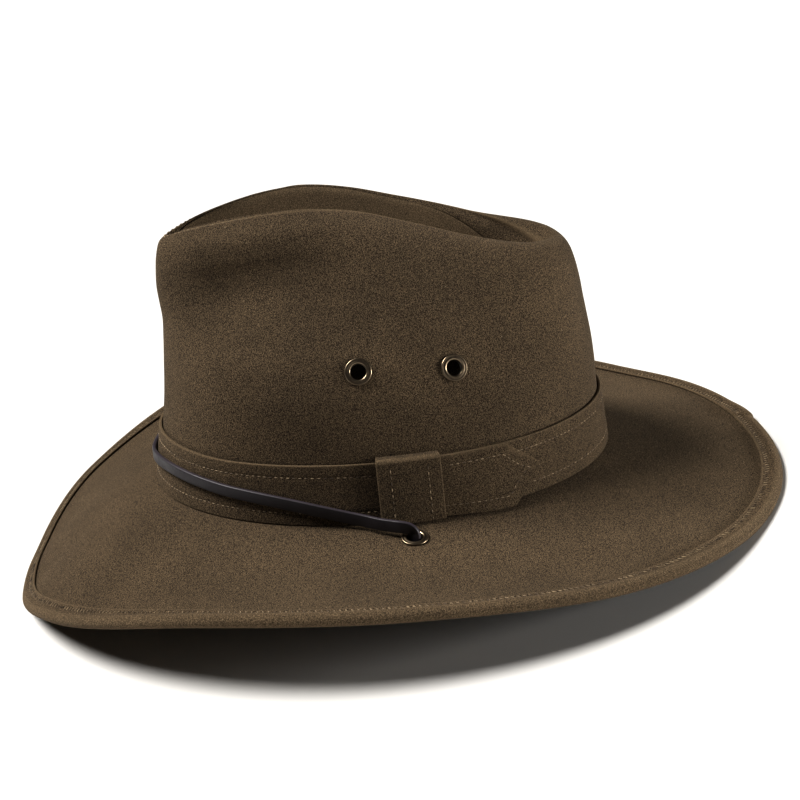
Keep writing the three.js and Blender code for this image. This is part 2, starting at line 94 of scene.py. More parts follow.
def outward(turn):
    angle = np.radians(np.asarray(turn, float))
    return np.stack([np.sin(angle), -np.cos(angle), np.zeros(angle.shape)], -1)


def tableValue(rows, name, turn):
    return smoothThrough([row["turn"] for row in rows], [row[name] for row in rows], folded(turn))


def ovalRadius(long, wide, turn):
    angle = np.radians(np.asarray(turn, float))
    return long * wide / (2 * np.hypot(wide * np.cos(angle), long * np.sin(angle)))


def softNoise(points, size, place):  # smooth bumps of about one size, from -1 to 1
    flat = np.asarray(points).reshape(-1, 3) / size + place
    return np.array([noise.noise(Vector(p)) for p in flat]).reshape(np.shape(points)[:-1])


# sizes

# shared by several pieces: the head opening, the crown's wall and the gap that touching pieces keep
fit = {"headLength": 0.2002, "headWidth": 0.1682, "crownCloth": 0.0016, "gap": 0.0003}

crown = {
    "height": 0.1186,
    "seamFront": -0.0865,
    "seamBack": 0.0795,
    "seamHalfWidth": 0.0357,
    "dentDepth": 0.030,
    "dentSquareness": 2.6,
    "lumpSize": 0.042,  # slack of the cloth between the folds
    "lumpDepth": 0.0007,
    "creaseSize": 0.013,
    "creaseDepth": 0.00012,
    "slackFrom": (0.2, 0.4),  # shares of the wall's height between which the slack sets in
    "slackTo": (0.9, 1),
    "foldTurn": 97,  # where the front pinch ends in a soft upright fold
    "foldSlant": 8,  # degrees that it leans forward from foot to ridge
    "foldMiddle": 0.4,
    "foldTo": (0.5, 0.8),
    "foldHalf": 4,
    "foldDepth": 0.0011,
    "rimRounding": 0.0002,
    "turns": 420,
    "rows": 110,
}

brimSizes = {
    "width": 0.080,
    "cloth": 0.0018,
    "curl": 0.3,
    "press": 0.002,  # how far the edge gives where it rests
    "seat": 0.0005,  # how far it still sinks there, to be pressed flat
    "softness": 0.0015,
    "waveSize": 0.05,
    "waveDepth": 0.0004,
    "wavesFrom": (0.02, 0.2),  # shares of its width between which the waves set in
    "wavesTo": (0.7, 0.86),
    "rimRounding": 0.0003,
    "turns": 480,
    "rows": 64,
}

binding = {
    "width": 0.009,
    "wall": 0.001,
    "turns": 1500,
    "stitchInsets": (0.0014, 0.0034),  # from the inner fold
    "pressed": 0.00035,  # how deep the stitches draw the strip in
    "pressWidth": 0.0009,
    "rolled": 0.0004,  # how much fuller the edge is outside them
    "fullAt": 0.006,  # from the inner fold
    "lip": 0.0003,  # how round the strip's inner folds are, outside and inside
    "lipInside": 0.0002,
    "lipRise": 0.0004,
    # how much paler the outer fold and the inner lip are: wear, and a painted highlight
    "foldWornAndHighlit": 0.45,
    "lipWornAndHighlit": 0.6,
    "pucker": 0.00012,
    "puckers": 460,
    "lapTurn": 181.5,
    "lapHeight": 0.0011,
    "lapStart": (-0.25, 0.1),  # degrees past that turn
    "lapEnd": (1.5, 9),
    "lapSlant": 0.1,  # degrees back for each millimetre in
}

band = {
    "height": 0.0249,
    "cloth": 0.0015,
    "stitchInset": 0.0052,  # from each edge
    "grooveWidth": 0.0007,
    "grooveDepth": 0.00022,
    "gape": 0.0007,  # how far its top stands off round the front
    "gapeFrom": 0.012,  # height
    "gapeTurn": 40,
    "gapeHalf": 25,
    # its upper edge painted paler: wear, and a painted highlight where it catches the lamps
    "wornAndHighlit": 0.8,  # its upper edge, over that much of its height
    "wornAndHighlitHeight": 0.0012,
    "stitchUnder": 7,  # degrees that its stitches run on under the tab's point
    "rimRounding": 0.0006,
    "rows": 50,
}

# seam between the crown's side and top: how full it is beside a sine, and its share of the crown's height
seamRows = [
    {"turn": 0, "full": 0.46, "up": 0.908},
    {"turn": 15, "full": 0.5, "up": 0.919},
    {"turn": 30, "full": 0.65, "up": 0.943},
    {"turn": 45, "full": 0.74, "up": 0.967},
    {"turn": 60, "full": 0.84, "up": 0.991},
    {"turn": 75, "full": 0.89, "up": 1},
    {"turn": 90, "full": 0.86, "up": 0.978},
    {"turn": 105, "full": 0.95, "up": 0.927},
    {"turn": 120, "full": 1.13, "up": 0.875},
    {"turn": 135, "full": 1.24, "up": 0.83},
    {"turn": 150, "full": 1.29, "up": 0.795},
    {"turn": 165, "full": 1.19, "up": 0.767},
    {"turn": 180, "full": 1.1, "up": 0.749},
]

# the crown's wall from brim to seam at four turns: shares of the way in and of the way up
wallStations = [("front", 0), ("pinch", 47), ("side", 106), ("back", 180)]
wallRows = [
    {"front": (0, 0), "pinch": (0, 0), "side": (0, 0), "back": (0, 0)},
    {"front": (0.276, 0.23), "pinch": (0.09, 0.22), "side": (0.07, 0.216), "back": (0.117, 0.28)},
    {"front": (0.42, 0.354), "pinch": (0.13, 0.33), "side": (0.115, 0.328), "back": (0.14, 0.4)},
    {"front": (0.53, 0.482), "pinch": (0.185, 0.43), "side": (0.175, 0.431), "back": (0.19, 0.53)},
    {"front": (0.63, 0.606), "pinch": (0.29, 0.52), "side": (0.255, 0.534), "back": (0.27, 0.66)},
    {"front": (0.66, 0.67), "pinch": (0.46, 0.6), "side": (0.34, 0.62), "back": (0.32, 0.75)},
    {"front": (0.63, 0.735), "pinch": (0.62, 0.668), "side": (0.43, 0.698), "back": (0.36, 0.83)},
    {"front": (0.61, 0.795), "pinch": (0.745, 0.738), "side": (0.53, 0.776), "back": (0.42, 0.91)},
    {"front": (0.64, 0.857), "pinch": (0.79, 0.81), "side": (0.64, 0.853), "back": (0.52, 0.985)},
    {"front": (0.71, 0.925), "pinch": (0.78, 0.88), "side": (0.745, 0.918), "back": (0.66, 1.03)},
    {"front": (0.83, 0.978), "pinch": (0.82, 0.945), "side": (0.86, 0.968), "back": (0.84, 1.035)},
    {"front": (1, 1), "pinch": (1, 1), "side": (1, 1), "back": (1, 1)},
]

# the dent between the seams: its share of the dent's depth
dentRows = [
    {"turn": 0, "depth": 0},
    {"turn": 20, "depth": 0.36},
    {"turn": 45, "depth": 0.74},
    {"turn": 90, "depth": 0.95},
    {"turn": 125, "depth": 1},
    {"turn": 160, "depth": 0.5},
    {"turn": 180, "depth": 0},
]

# the brim's edge and the fall of its middle, as shares of its width
brimRows = [
    {"turn": 0, "reach": 0.812, "rise": -0.563, "sag": -0.03},
    {"turn": 30, "reach": 0.876, "rise": -0.326, "sag": 0.0},
    {"turn": 60, "reach": 0.954, "rise": -0.053, "sag": 0.05},
    {"turn": 90, "reach": 1, "rise": -0.004, "sag": 0.07},
    {"turn": 120, "reach": 1.042, "rise": -0.074, "sag": 0.06},
    {"turn": 150, "reach": 0.985, "rise": -0.125, "sag": 0.04},
    {"turn": 180, "reach": 0.914, "rise": -0.091, "sag": 0.03},
]


# the hat's faces, in its own axes

seamMiddle = (crown["seamFront"] + crown["seamBack"]) / 2
seamHalf = (crown["seamBack"] - crown["seamFront"]) / 2


def seamPoint(turn):
    angle = np.radians(np.asarray(turn, float))
    side = crown["seamHalfWidth"] * tableValue(seamRows, "full", turn) * np.sin(angle)
    up = crown["height"] * tableValue(seamRows, "up", turn)
    return np.stack([side, seamMiddle - seamHalf * np.cos(angle), up], -1)


def crownFoot(turn):  # how far out the crown's outer face meets the brim
    cloth = 2 * fit["crownCloth"]
    return ovalRadius(fit["headLength"] + cloth, fit["headWidth"] + cloth, turn)


def crownPoint(turn, share):  # share 0 at the brim, 1 at the seam
    turn, share = together(turn, share)
    t = folded(turn)
    places = np.linspace(0, 1, len(wallRows))
    way = np.zeros(t.shape + (2,))
    for (firstName, first), (secondName, second) in zip(wallStations, wallStations[1:]):
        blend = smoothStep(t, first, second)
        here = (t >= first) & (t <= second)
        for axis in (0, 1):
            a = smoothThrough(places, [row[firstName][axis] for row in wallRows], share)
            b = smoothThrough(places, [row[secondName][axis] for row in wallRows], share)
            way[..., axis] = np.where(here, a + (b - a) * blend, way[..., axis])
    seam = seamPoint(turn)
    foot = outward(turn) * crownFoot(turn)[..., None]
    point = foot + (seam - foot) * way[..., :1]
    point[..., 2] = seam[..., 2] * way[..., 1]
    return point


def faceNormal(face, turn, share):
    small = 0.002
    high = np.minimum(np.asarray(share, float) + small, 1)
    around = face(turn + 0.2, share) - face(turn - 0.2, share)
    along = face(turn, high) - face(turn, high - small)
    return unit(np.cross(around, along))


def shareAtHeight(turn, height):
    turn, height = together(turn, height)
    low, high = np.zeros(turn.shape), np.full(turn.shape, 0.8)
    for _ in range(18):
        middle = (low + high) / 2
        below = crownPoint(turn, middle)[..., 2] < height
        low, high = np.where(below, middle, low), np.where(below, high, middle)
    return low


def aroundCrown(turn, height, distance):  # a distance out from the crown's wall at a height
    turn, height, distance = together(turn, height, distance)
    share = shareAtHeight(turn, np.maximum(height, 0))
    point = crownPoint(turn, share) + outward(turn) * distance[..., None]
    point[..., 2] = height
    return point


def bandFoot(turn):
    return crownFoot(turn) + fit["gap"] + band["cloth"]


def brimFall(share):
    return share * (1 - brimSizes["curl"] + brimSizes["curl"] * share)


def looseBrimPoint(turn, share):  # share 0 at the band's foot, 1 at the edge
    turn, share = together(turn, share)
    width = brimSizes["width"]
    reach = width * tableValue(brimRows, "reach", turn) * share
    point = outward(turn) * (bandFoot(turn) + reach)[..., None]
    rise, sag = [width * tableValue(brimRows, name, turn) for name in ("rise", "sag")]
    point[..., 2] = rise * brimFall(share) - sag * 4 * share * (1 - share)
    return point


def brimShare(turn, distance):  # the share that lies a distance out from the band
    return distance / (brimSizes["width"] * tableValue(brimRows, "reach", turn))


bindingStart = 1 - binding["width"] / brimSizes["width"]
bindingHalf = brimSizes["cloth"] / 2 + fit["gap"] + binding["wall"]


def bindingFrame(turn, face):  # the middle of the brim's edge, the way out and the way up from it
    out = unit(face(turn, 1) - face(turn, bindingStart))
    up = unit(np.cross(out, face(turn + 1, 1) - face(turn - 1, 1)))
    return face(turn, 1) - up * brimSizes["cloth"] / 2, out, up


def bindingCorners():  # the folded strip's plain section: out and up
    width, wall = binding["width"], binding["wall"]
    slot = bindingHalf - wall
    turned = np.radians([-90, -45, 0, 45, 90])
    fold = [(bindingHalf * (math.cos(a) - 1), bindingHalf * math.sin(a)) for a in turned]
    inside = [(-width, slot), (-wall, slot), (-wall, -slot), (-width, -slot)]
    return np.array(inside + [(-width, -bindingHalf)] + fold + [(-width, bindingHalf)])


def sectionsAlong(turn, face, corners):
    middle, out, up = bindingFrame(turn, face)
    x, z = corners[..., 0, None], corners[..., 1, None]
    return middle[:, None] + out[:, None] * x + up[:, None] * z


# the plane that the bound edge rests on: level across the hat, touching at the front and at the back

edgeCorners = bindingCorners()
looseEdge = sectionsAlong(np.linspace(0, 180, 61), looseBrimPoint, edgeCorners).reshape(-1, 3)
restSlope = 0.0
for _ in range(6):
    level = looseEdge[:, 2] - restSlope * looseEdge[:, 1]
    isFront = looseEdge[:, 1] < 0
    front = looseEdge[isFront][level[isFront].argmin()]
    back = looseEdge[~isFront][level[~isFront].argmin()]
    restSlope = (back[2] - front[2]) / (back[1] - front[1])
restLevel = brimSizes["press"] + (looseEdge[:, 2] - restSlope * looseEdge[:, 1]).min()


def edgeLift(turn):  # how far the edge is lifted where it would sink below that plane
    flat = np.asarray(turn, float).reshape(-1)
    points = sectionsAlong(flat, looseBrimPoint, edgeCorners)
    above = (points[..., 2] - restSlope * points[..., 1]).min(1) - restLevel
    lift = smoothMax(above, -brimSizes["seat"], brimSizes["softness"]) - above
    return lift.reshape(np.shape(turn))


def brimPoint(turn, share):
    turn, share = np.asarray(turn, float), np.asarray(share, float)
    point = looseBrimPoint(turn, share)
    point[..., 2] += edgeLift(turn) * brimFall(share)
    return point


lean = math.atan(restSlope)


def leaned(points):
    points = np.asarray(points, float)
    y = points[..., 1] * math.cos(lean) + points[..., 2] * math.sin(lean)
    z = points[..., 2] * math.cos(lean) - points[..., 1] * math.sin(lean)
    return np.stack([points[..., 0], y, z], -1)


edge = leaned(sectionsAlong(np.arange(0, 360, 6.0), brimPoint, edgeCorners))
restShift = np.array([0, -(edge[..., 1].min() + edge[..., 1].max()) / 2, -restLevel * math.cos(lean)])


def rested(points):
    return leaned(points) + restShift


# the camera stands where the photograph's did, in the hat's own axes

camera = {
    "distance": 0.653889,
    "turn": 86.45,  # round from the front towards the wearer's left
    "height": 20.45,  # degrees above the brim
    "roll": -4.66,
    "target": (0.00294, 0.00934, 0.02317),
    "lens": 63.9,
    "sensor": 36,
}


def addCamera():
    up = math.radians(camera["height"])
    place = camera["distance"] * (outward(camera["turn"]) * math.cos(up) + np.array([0, 0, math.sin(up)]))
    forward = unit(np.array(camera["target"]) - place)
    right = unit(np.cross(forward, [0, 0, 1]))
    above = np.cross(right, forward)
    roll = math.radians(camera["roll"])
    tilted = math.cos(roll) * right + math.sin(roll) * above
    axes = leaned(np.array([tilted, np.cross(tilted, forward), -forward]))
    made = bpy.data.objects.new("camera", bpy.data.cameras.new("camera"))
    made.data.lens = camera["lens"]
    made.data.sensor_width = camera["sensor"]
    made.matrix_world = Matrix.Translation(rested(place)) @ Matrix(axes.T.tolist()).to_4x4()
    scene.collection.objects.link(made)
    scene.camera = made


addCamera()
print("camera placed")


# materials

def addNode(tree, kind, settings={}, values={}, links={}):
    made = tree.nodes.new(kind)
    for name, value in settings.items():
        setattr(made, name, value)
    for socket, value in values.items():
        made.inputs[socket].default_value = value
    for socket, source in links.items():
        tree.links.new(source, made.inputs[socket])
    return made


def colour(hexValue):  # an sRGB hex value as linear light
    parts = [int(hexValue[i:i + 2], 16) / 255 for i in (1, 3, 5)]
    return [p / 12.92 if p <= 0.04045 else ((p + 0.055) / 1.055) ** 2.4 for p in parts] + [1]


def newMaterial(name):
    made = bpy.data.materials.new(name)
    made.use_nodes = True
    made.node_tree.nodes.clear()
    return made, made.node_tree


def rampStops(ramp, stops):
    ramp.color_ramp.elements[0].position, ramp.color_ramp.elements[-1].position = stops[0][0], stops[-1][0]
    ramp.color_ramp.elements[0].color, ramp.color_ramp.elements[-1].color = stops[0][1], stops[-1][1]
    for place, value in stops[1:-1]:
        ramp.color_ramp.elements.new(place).color = value


# Brushed cotton drill: a twill whose face is raised with wire brushes. The short nap gives a matt, slightly
# dusty face with a fine two-tone grain, pale fibre ends that catch the light, and paler folds and edges:
# partly wear, partly a painted highlight where they catch the lamps.
cotton = {
    "shade": "#130e09",  # between the threads
    "face": "#45392b",
    # the grain's pale end, and the tone of worn folds and edges with their painted highlight
    "wearAndHighlight": "#7d6c55",
    "fleck": "#a0927a",
    "tones": [(0.42, "shade"), (0.5, "face"), (0.585, "wearAndHighlight")],
    "grain": 0.42 * mm,
    "nap": 0.2 * mm,
    "mottle": 34 * mm,
    "mottled": (0.86, 1.12),  # its darkest and lightest patches
    "fleckSize": 1.1 * mm,
    "fleckFrom": 0.7,  # the higher, the rarer
    "bump": 0.3 * mm,
    "roughness": 0.95,
    "specular": 0.2,
    "sheen": 0.05,
    "sheenTint": "#c9b69a",
}


def brushedCotton(name, look):
    made, tree = newMaterial(name)
    place = addNode(tree, "ShaderNodeTexCoord").outputs["Object"]
    sizes = (("grain", 2.0, 0.7), ("nap", 1.0, 0.5), ("mottle", 3.0, 0.55), ("fleckSize", 2.0, 0.8))
    noises = [addNode(tree, "ShaderNodeTexNoise", values={
        "Scale": 1 / look[size], "Detail": detail, "Roughness": rough}, links={"Vector": place})
        for size, detail, rough in sizes]
    grain, nap, mottle, fleck = [made.outputs["Fac"] for made in noises]
    both = addNode(tree, "ShaderNodeMix", {"data_type": "FLOAT"}, {0: 0.45}, {2: grain, 3: nap})
    toned = addNode(tree, "ShaderNodeValToRGB", links={"Fac": both.outputs[0]})
    rampStops(toned, [(at, colour(look[tone])) for at, tone in look["tones"]])
    darkest, lightest = look["mottled"]
    patches = addNode(tree, "ShaderNodeMapRange", values={
        "From Min": 0.3, "From Max": 0.7, "To Min": darkest, "To Max": lightest}, links={"Value": mottle})
    uneven = addNode(tree, "ShaderNodeMix", {"data_type": "RGBA", "blend_type": "MULTIPLY"}, {0: 1.0}, {
        6: toned.outputs["Color"], 7: patches.outputs["Result"]})
    # folds and edges painted paler: wear, and a painted highlight
    wornAndHighlit = addNode(tree, "ShaderNodeAttribute", {"attribute_name": "wearAndHighlight"})
    rubbedAndHighlit = addNode(tree, "ShaderNodeMath", {"operation": "MULTIPLY"}, links={
        0: wornAndHighlit.outputs["Fac"], 1: both.outputs[0]})
    paler = addNode(tree, "ShaderNodeMix", {"data_type": "RGBA"}, {7: colour(look["wearAndHighlight"])}, {
        0: rubbedAndHighlit.outputs["Value"], 6: uneven.outputs[2]})
    rare = look["fleckFrom"]
    ends = addNode(tree, "ShaderNodeMapRange", values={
        "From Min": rare, "From Max": rare + 0.04, "To Min": 0.0, "To Max": 0.7}, links={"Value": fleck})
    flecked = addNode(tree, "ShaderNodeMix", {"data_type": "RGBA"}, {7: colour(look["fleck"])}, {
        0: ends.outputs["Result"], 6: paler.outputs[2]})
    relief = addNode(tree, "ShaderNodeBump", values={"Strength": 0.7, "Distance": look["bump"]}, links={
        "Height": both.outputs[0]})
    shader = addNode(tree, "ShaderNodeBsdfPrincipled", values={
        "Roughness": look["roughness"], "Specular IOR Level": look["specular"],
        "Sheen Weight": look["sheen"], "Sheen Roughness": 0.45,
        "Sheen Tint": colour(look["sheenTint"])}, links={
        "Base Color": flecked.outputs[2], "Normal": relief.outputs["Normal"]})
    addNode(tree, "ShaderNodeOutputMaterial", links={"Surface": shader.outputs["BSDF"]})
    return made


# Spun cotton thread, hard twisted: short pale dashes whose tone wanders from dark to light along the seams.
thread = {
    "dark": "#4a3d30",
    "light": "#b39f80",
    "tones": [(0.4, "dark"), (0.66, "light")],
    "change": 5 * mm,
    "roughness": 0.7,
}


def spunThread(name, look):
    made, tree = newMaterial(name)
    place = addNode(tree, "ShaderNodeTexCoord").outputs["Object"]
    change = addNode(tree, "ShaderNodeTexNoise", values={
        "Scale": 1 / look["change"], "Detail": 3.0, "Roughness": 0.8}, links={"Vector": place})
    toned = addNode(tree, "ShaderNodeValToRGB", links={"Fac": change.outputs["Fac"]})
    rampStops(toned, [(at, colour(look[tone])) for at, tone in look["tones"]])
    shader = addNode(tree, "ShaderNodeBsdfPrincipled", values={"Roughness": look["roughness"]}, links={
        "Base Color": toned.outputs["Color"]})
    addNode(tree, "ShaderNodeOutputMaterial", links={"Surface": shader.outputs["BSDF"]})
    return made


# Drum-dyed cowhide lace, cut flat and waxed: nearly black with a cool soft gloss and paler cut edges.
hide = {
    "face": "#1c191d",
    "rub": "#453e45",
    "pore": 0.8 * mm,
    "rubSize": 9 * mm,
    "bump": 0.12 * mm,
    "glossy": 0.38,  # roughness where it is smooth, and where it is rubbed
    "matt": 0.58,
}


def waxedHide(name, look):
    made, tree = newMaterial(name)
    place = addNode(tree, "ShaderNodeTexCoord").outputs["Object"]
    pores = addNode(tree, "ShaderNodeTexNoise", values={
        "Scale": 1 / look["pore"], "Detail": 3.0, "Roughness": 0.6}, links={"Vector": place})
    rubs = addNode(tree, "ShaderNodeTexNoise", values={
        "Scale": 1 / look["rubSize"], "Detail": 4.0, "Roughness": 0.65}, links={"Vector": place})
    wornAndHighlit = addNode(tree, "ShaderNodeAttribute", {"attribute_name": "wearAndHighlight"})
    amount = addNode(tree, "ShaderNodeMath", {"operation": "MULTIPLY_ADD"}, {1: 0.35}, {
        0: rubs.outputs["Fac"], 2: wornAndHighlit.outputs["Fac"]})
    base = addNode(tree, "ShaderNodeMix", {"data_type": "RGBA"}, {
        6: colour(look["face"]), 7: colour(look["rub"])}, {0: amount.outputs["Value"]})
    gloss = addNode(tree, "ShaderNodeMapRange", values={
        "From Min": 0.3, "From Max": 0.7, "To Min": look["glossy"], "To Max": look["matt"]}, links={
        "Value": rubs.outputs["Fac"]})
    relief = addNode(tree, "ShaderNodeBump", values={"Strength": 0.5, "Distance": look["bump"]}, links={
        "Height": pores.outputs["Fac"]})
    shader = addNode(tree, "ShaderNodeBsdfPrincipled", links={
        "Base Color": base.outputs[2], "Roughness": gloss.outputs["Result"],
        "Normal": relief.outputs["Normal"]})
    addNode(tree, "ShaderNodeOutputMaterial", links={"Surface": shader.outputs["BSDF"]})
    return made


# Pressed brass, darkened in a bath and tumbled: bright on its rims, where tumbling polished it and where a
# highlight is painted, and brown-black where the tumbling did not reach.
brass = {
    "bright": "#b3a289",
    "dark": "#2e2620",
    "patch": 1.6 * mm,
    "glossy": 0.22,  # roughness where it is bright, and where it is dark
    "matt": 0.48,
}


def antiquedBrass(name, look):
    made, tree = newMaterial(name)
    place = addNode(tree, "ShaderNodeTexCoord").outputs["Object"]
    patches = addNode(tree, "ShaderNodeTexNoise", values={
        "Scale": 1 / look["patch"], "Detail": 4.0, "Roughness": 0.6}, links={"Vector": place})
    # bright on the rims: polish, and a painted highlight
    wornAndHighlit = addNode(tree, "ShaderNodeAttribute", {"attribute_name": "wearAndHighlight"})
    amount = addNode(tree, "ShaderNodeMath", {"operation": "MULTIPLY_ADD", "use_clamp": True}, {1: 0.35}, {
        0: patches.outputs["Fac"], 2: wornAndHighlit.outputs["Fac"]})
    base = addNode(tree, "ShaderNodeMix", {"data_type": "RGBA"}, {
        6: colour(look["dark"]), 7: colour(look["bright"])}, {0: amount.outputs["Value"]})
    gloss = addNode(tree, "ShaderNodeMapRange", values={
        "From Min": 0.2, "From Max": 0.9, "To Min": look["matt"], "To Max": look["glossy"]}, links={
        "Value": amount.outputs["Value"]})
    shader = addNode(tree, "ShaderNodeBsdfPrincipled", values={"Metallic": 1.0}, links={
        "Base Color": base.outputs[2], "Roughness": gloss.outputs["Result"]})
    addNode(tree, "ShaderNodeOutputMaterial", links={"Surface": shader.outputs["BSDF"]})
    return made


crownCotton = brushedCotton("brushedCotton", cotton)
bindingCotton = brushedCotton("foldedBiasCotton", {**cotton, "face": "#4c3f30", "grain": 0.5 * mm})
threadCotton = spunThread("spunThread", thread)
laceHide = waxedHide("waxedHide", hide)
eyeletBrass = antiquedBrass("antiquedBrass", brass)


# making meshes

def addPiece(name, points, faces, material, nodes=(), wearAndHighlight=None):
    mesh = bpy.data.meshes.new(name)
    mesh.from_pydata(np.asarray(points).reshape(-1, 3).tolist(), [], faces)
    mesh.polygons.foreach_set("use_smooth", [True] * len(mesh.polygons))
    mesh.materials.append(material)
    if wearAndHighlight is not None:
        wornAndHighlit = mesh.attributes.new("wearAndHighlight", "FLOAT", "POINT")
        wornAndHighlit.data.foreach_set("value", np.ravel(wearAndHighlight).astype(np.float32))
    piece = bpy.data.objects.new(name, mesh)
    scene.collection.objects.link(piece)
    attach(piece, "root")
    if nodes:
        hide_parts(*nodes)
    return piece


def gridFaces(rows, columns, closed, joined=False):
    faces = []  # closed: the last row runs on to the first one; joined: so does the last column
    for i in range(rows if closed else rows - 1):
        for j in range(columns if joined else columns - 1):
            here, beyond = i * columns, (i + 1) % rows * columns
            nextColumn = (j + 1) % columns
            faces.append((here + j, beyond + j, beyond + nextColumn, here + nextColumn))
    return faces


def cutHoles(piece, holes, radius):  # round holes through a face, before it gets its thickness
    grid = bmesh.new()
    grid.from_mesh(piece.data)
    for place in holes:
        inverse = place.inverted()
        near = [v for v in grid.verts if (inverse @ v.co).length < 3 * radius]
        gone = {v for v in near if (inverse @ v.co).xy.length < radius}
        bmesh.ops.delete(grid, geom=[f for f in {f for v in gone for f in v.link_faces}], context="FACES")
        for v in near:
            if v.is_valid and v.is_boundary:
                local = inverse @ v.co
                scale = radius / local.xy.length
                v.co = place @ Vector((local.x * scale, local.y * scale, local.z))
    grid.to_mesh(piece.data)
    grid.free()


def thicken(piece, thickness, rounding):  # cloth of one thickness behind its face, with soft rims
    wall = piece.modifiers.new("wall", "SOLIDIFY")
    wall.thickness = thickness
    wall.offset = -1
    rim = piece.modifiers.new("rim", "BEVEL")
    rim.width = rounding
    rim.segments = 3
    rim.limit_method = "ANGLE"
    rim.angle_limit = math.radians(50)


def addCloth(node, points, wornAndHighlit, thickness, rounding, closed=True, holes=()):
    rows, columns = points.shape[:2]
    faces = gridFaces(rows, columns, closed)
    piece = addPiece(node + "_cloth", rested(points), faces, crownCotton, [node], wornAndHighlit)
    if holes:
        cutHoles(piece, holes, holeRadius)
    thicken(piece, thickness, rounding)
    return piece


# crown

def crownRelief(turn, share):  # soft lumps and shallow creases, none at the foot or at the seam
    base = crownPoint(turn, share)
    free = between(share, crown["slackFrom"], crown["slackTo"])
    lumps = crown["lumpDepth"] * softNoise(base, crown["lumpSize"], 3.1)
    creases = crown["creaseDepth"] * softNoise(base, crown["creaseSize"], 7.7)
    across = folded(turn) - crown["foldTurn"] + crown["foldSlant"] * (share - crown["foldMiddle"])
    fold = crown["foldDepth"] * bump(across, 0, crown["foldHalf"])
    fold = fold * between(share, crown["slackFrom"], crown["foldTo"])
    return base + faceNormal(crownPoint, turn, share) * ((lumps + creases) * free - fold)[..., None]


eyelet = {
    "flange": 0.011,
    "bore": 0.0064,
    "wall": 0.0006,
    "thickness": 0.001,
    "seat": 0.0002,
    "roll": 0.0017,
    "spacing": 0.0385,
    "middle": 0.0075,  # the two vents' middle, behind the middle of the head opening
    "height": 0.0585,
    "drop": 0.003,  # how much lower the back one of each pair sits
    "strapTurn": 92,
    "strapReach": 0.011,
    "domeFoot": 0.25,  # share of its thickness at its edges, and the rest follows a full dome
    "domeFullness": 0.6,
    "ring": {"depth": 0.22, "at": 1.75, "width": 0.4},  # pressed in; places over the dome run from 0 to pi
    # rings over the dome painted bright: polish, and a painted highlight
    "bright": [{"at": 0.7, "width": 0.35}, {"at": 2.7, "width": 0.3}],
    "sides": 48,
}


def placeAlong(point, direction):
    turned = Vector((0, 0, 1)).rotation_difference(Vector(leaned(direction)))
    return Matrix.Translation(Vector(rested(point))) @ turned.to_matrix().to_4x4()


def ventPlace(side, toBack):
    y = eyelet["middle"] + toBack * eyelet["spacing"] / 2
    height = eyelet["height"] - toBack * eyelet["drop"] / 2
    turn = 90.0
    for _ in range(12):
        point = crownPoint(turn, shareAtHeight(turn, height))
        turn += math.degrees(math.atan2(y - point[1], point[0]))
    share = shareAtHeight(turn, height)
    return placeAlong(crownRelief(turn * side, share), faceNormal(crownPoint, turn * side, share))


def strapHolePlace(side):
    turn = eyelet["strapTurn"] * side
    share = brimShare(turn, eyelet["strapReach"])
    return placeAlong(brimPoint(turn, share), -faceNormal(brimPoint, turn, share))


vents = {
    f"vent_eyelet_{name}_{end}": ventPlace(side, way)
    for side, name in ((1, "left"), (-1, "right")) for way, end in ((-1, "front"), (1, "back"))
}
strapHoles = {f"strap_eyelet_{name}": strapHolePlace(side) for side, name in ((1, "left"), (-1, "right"))}
holeRadius = eyelet["bore"] / 2 + eyelet["wall"] + fit["gap"]


# The side's cloth rolls over the ridge and is sewn to the top just inside it, further in round the back.
ridge = {
    "start": 0.985,  # share of the wall where the roll begins
    "inside": 0.001,  # how far past the ridge the roll ends
    "groove": 0.0003,  # how deep the seam draws the cloth in
    "grooveWidth": 0.0006,
    "grooveFrom": (0.0017, 0.004),  # only where the seam lies that far in
    "raised": 0.0055,  # how far the top's edge stands above the plain dent
    "raisedFrom": (8, 50),  # degrees from the front
    "raisedTo": (135, 175),
    "raisedRise": (0, 0.004),  # distances from the ridge over which it rises, and falls to the plain floor
    "raisedFall": (0.002, 0.015),
    "rollRows": 9,
    # how much paler the roll over the ridge is: wear, and a painted highlight along the ridge
    "rollWornAndHighlit": (0.3, 0.8, 1, 1, 0.8, 0.4),
    # how much paler the whole top is
    "topPaler": 0.5,
    "spineInset": 0.016,  # how far inside the seam the dent's middle line ends
    "stitchTurn": 58,
}
seamInRows = [
    {"turn": 0, "inside": 0.0016},
    {"turn": 60, "inside": 0.0016},
    {"turn": 105, "inside": 0.0018},
    {"turn": 130, "inside": 0.0045},
    {"turn": 155, "inside": 0.0085},
    {"turn": 180, "inside": 0.0085},
]

rimTurns = np.linspace(0, 180, 721)
rimInset = fit["crownCloth"] + 2 * fit["gap"]
rimPoints = crownPoint(rimTurns, 1) - faceNormal(crownPoint, rimTurns, 1) * rimInset
dentDepths = crown["dentDepth"] * tableValue(dentRows, "depth", rimTurns)


def ridgeInward(turn):  # level, square to the ridge
    along = seamPoint(turn + 0.5) - seamPoint(turn - 0.5)
    across = np.stack([along[..., 1], -along[..., 0], 0 * along[..., 0]], -1)
    return -unit(across)


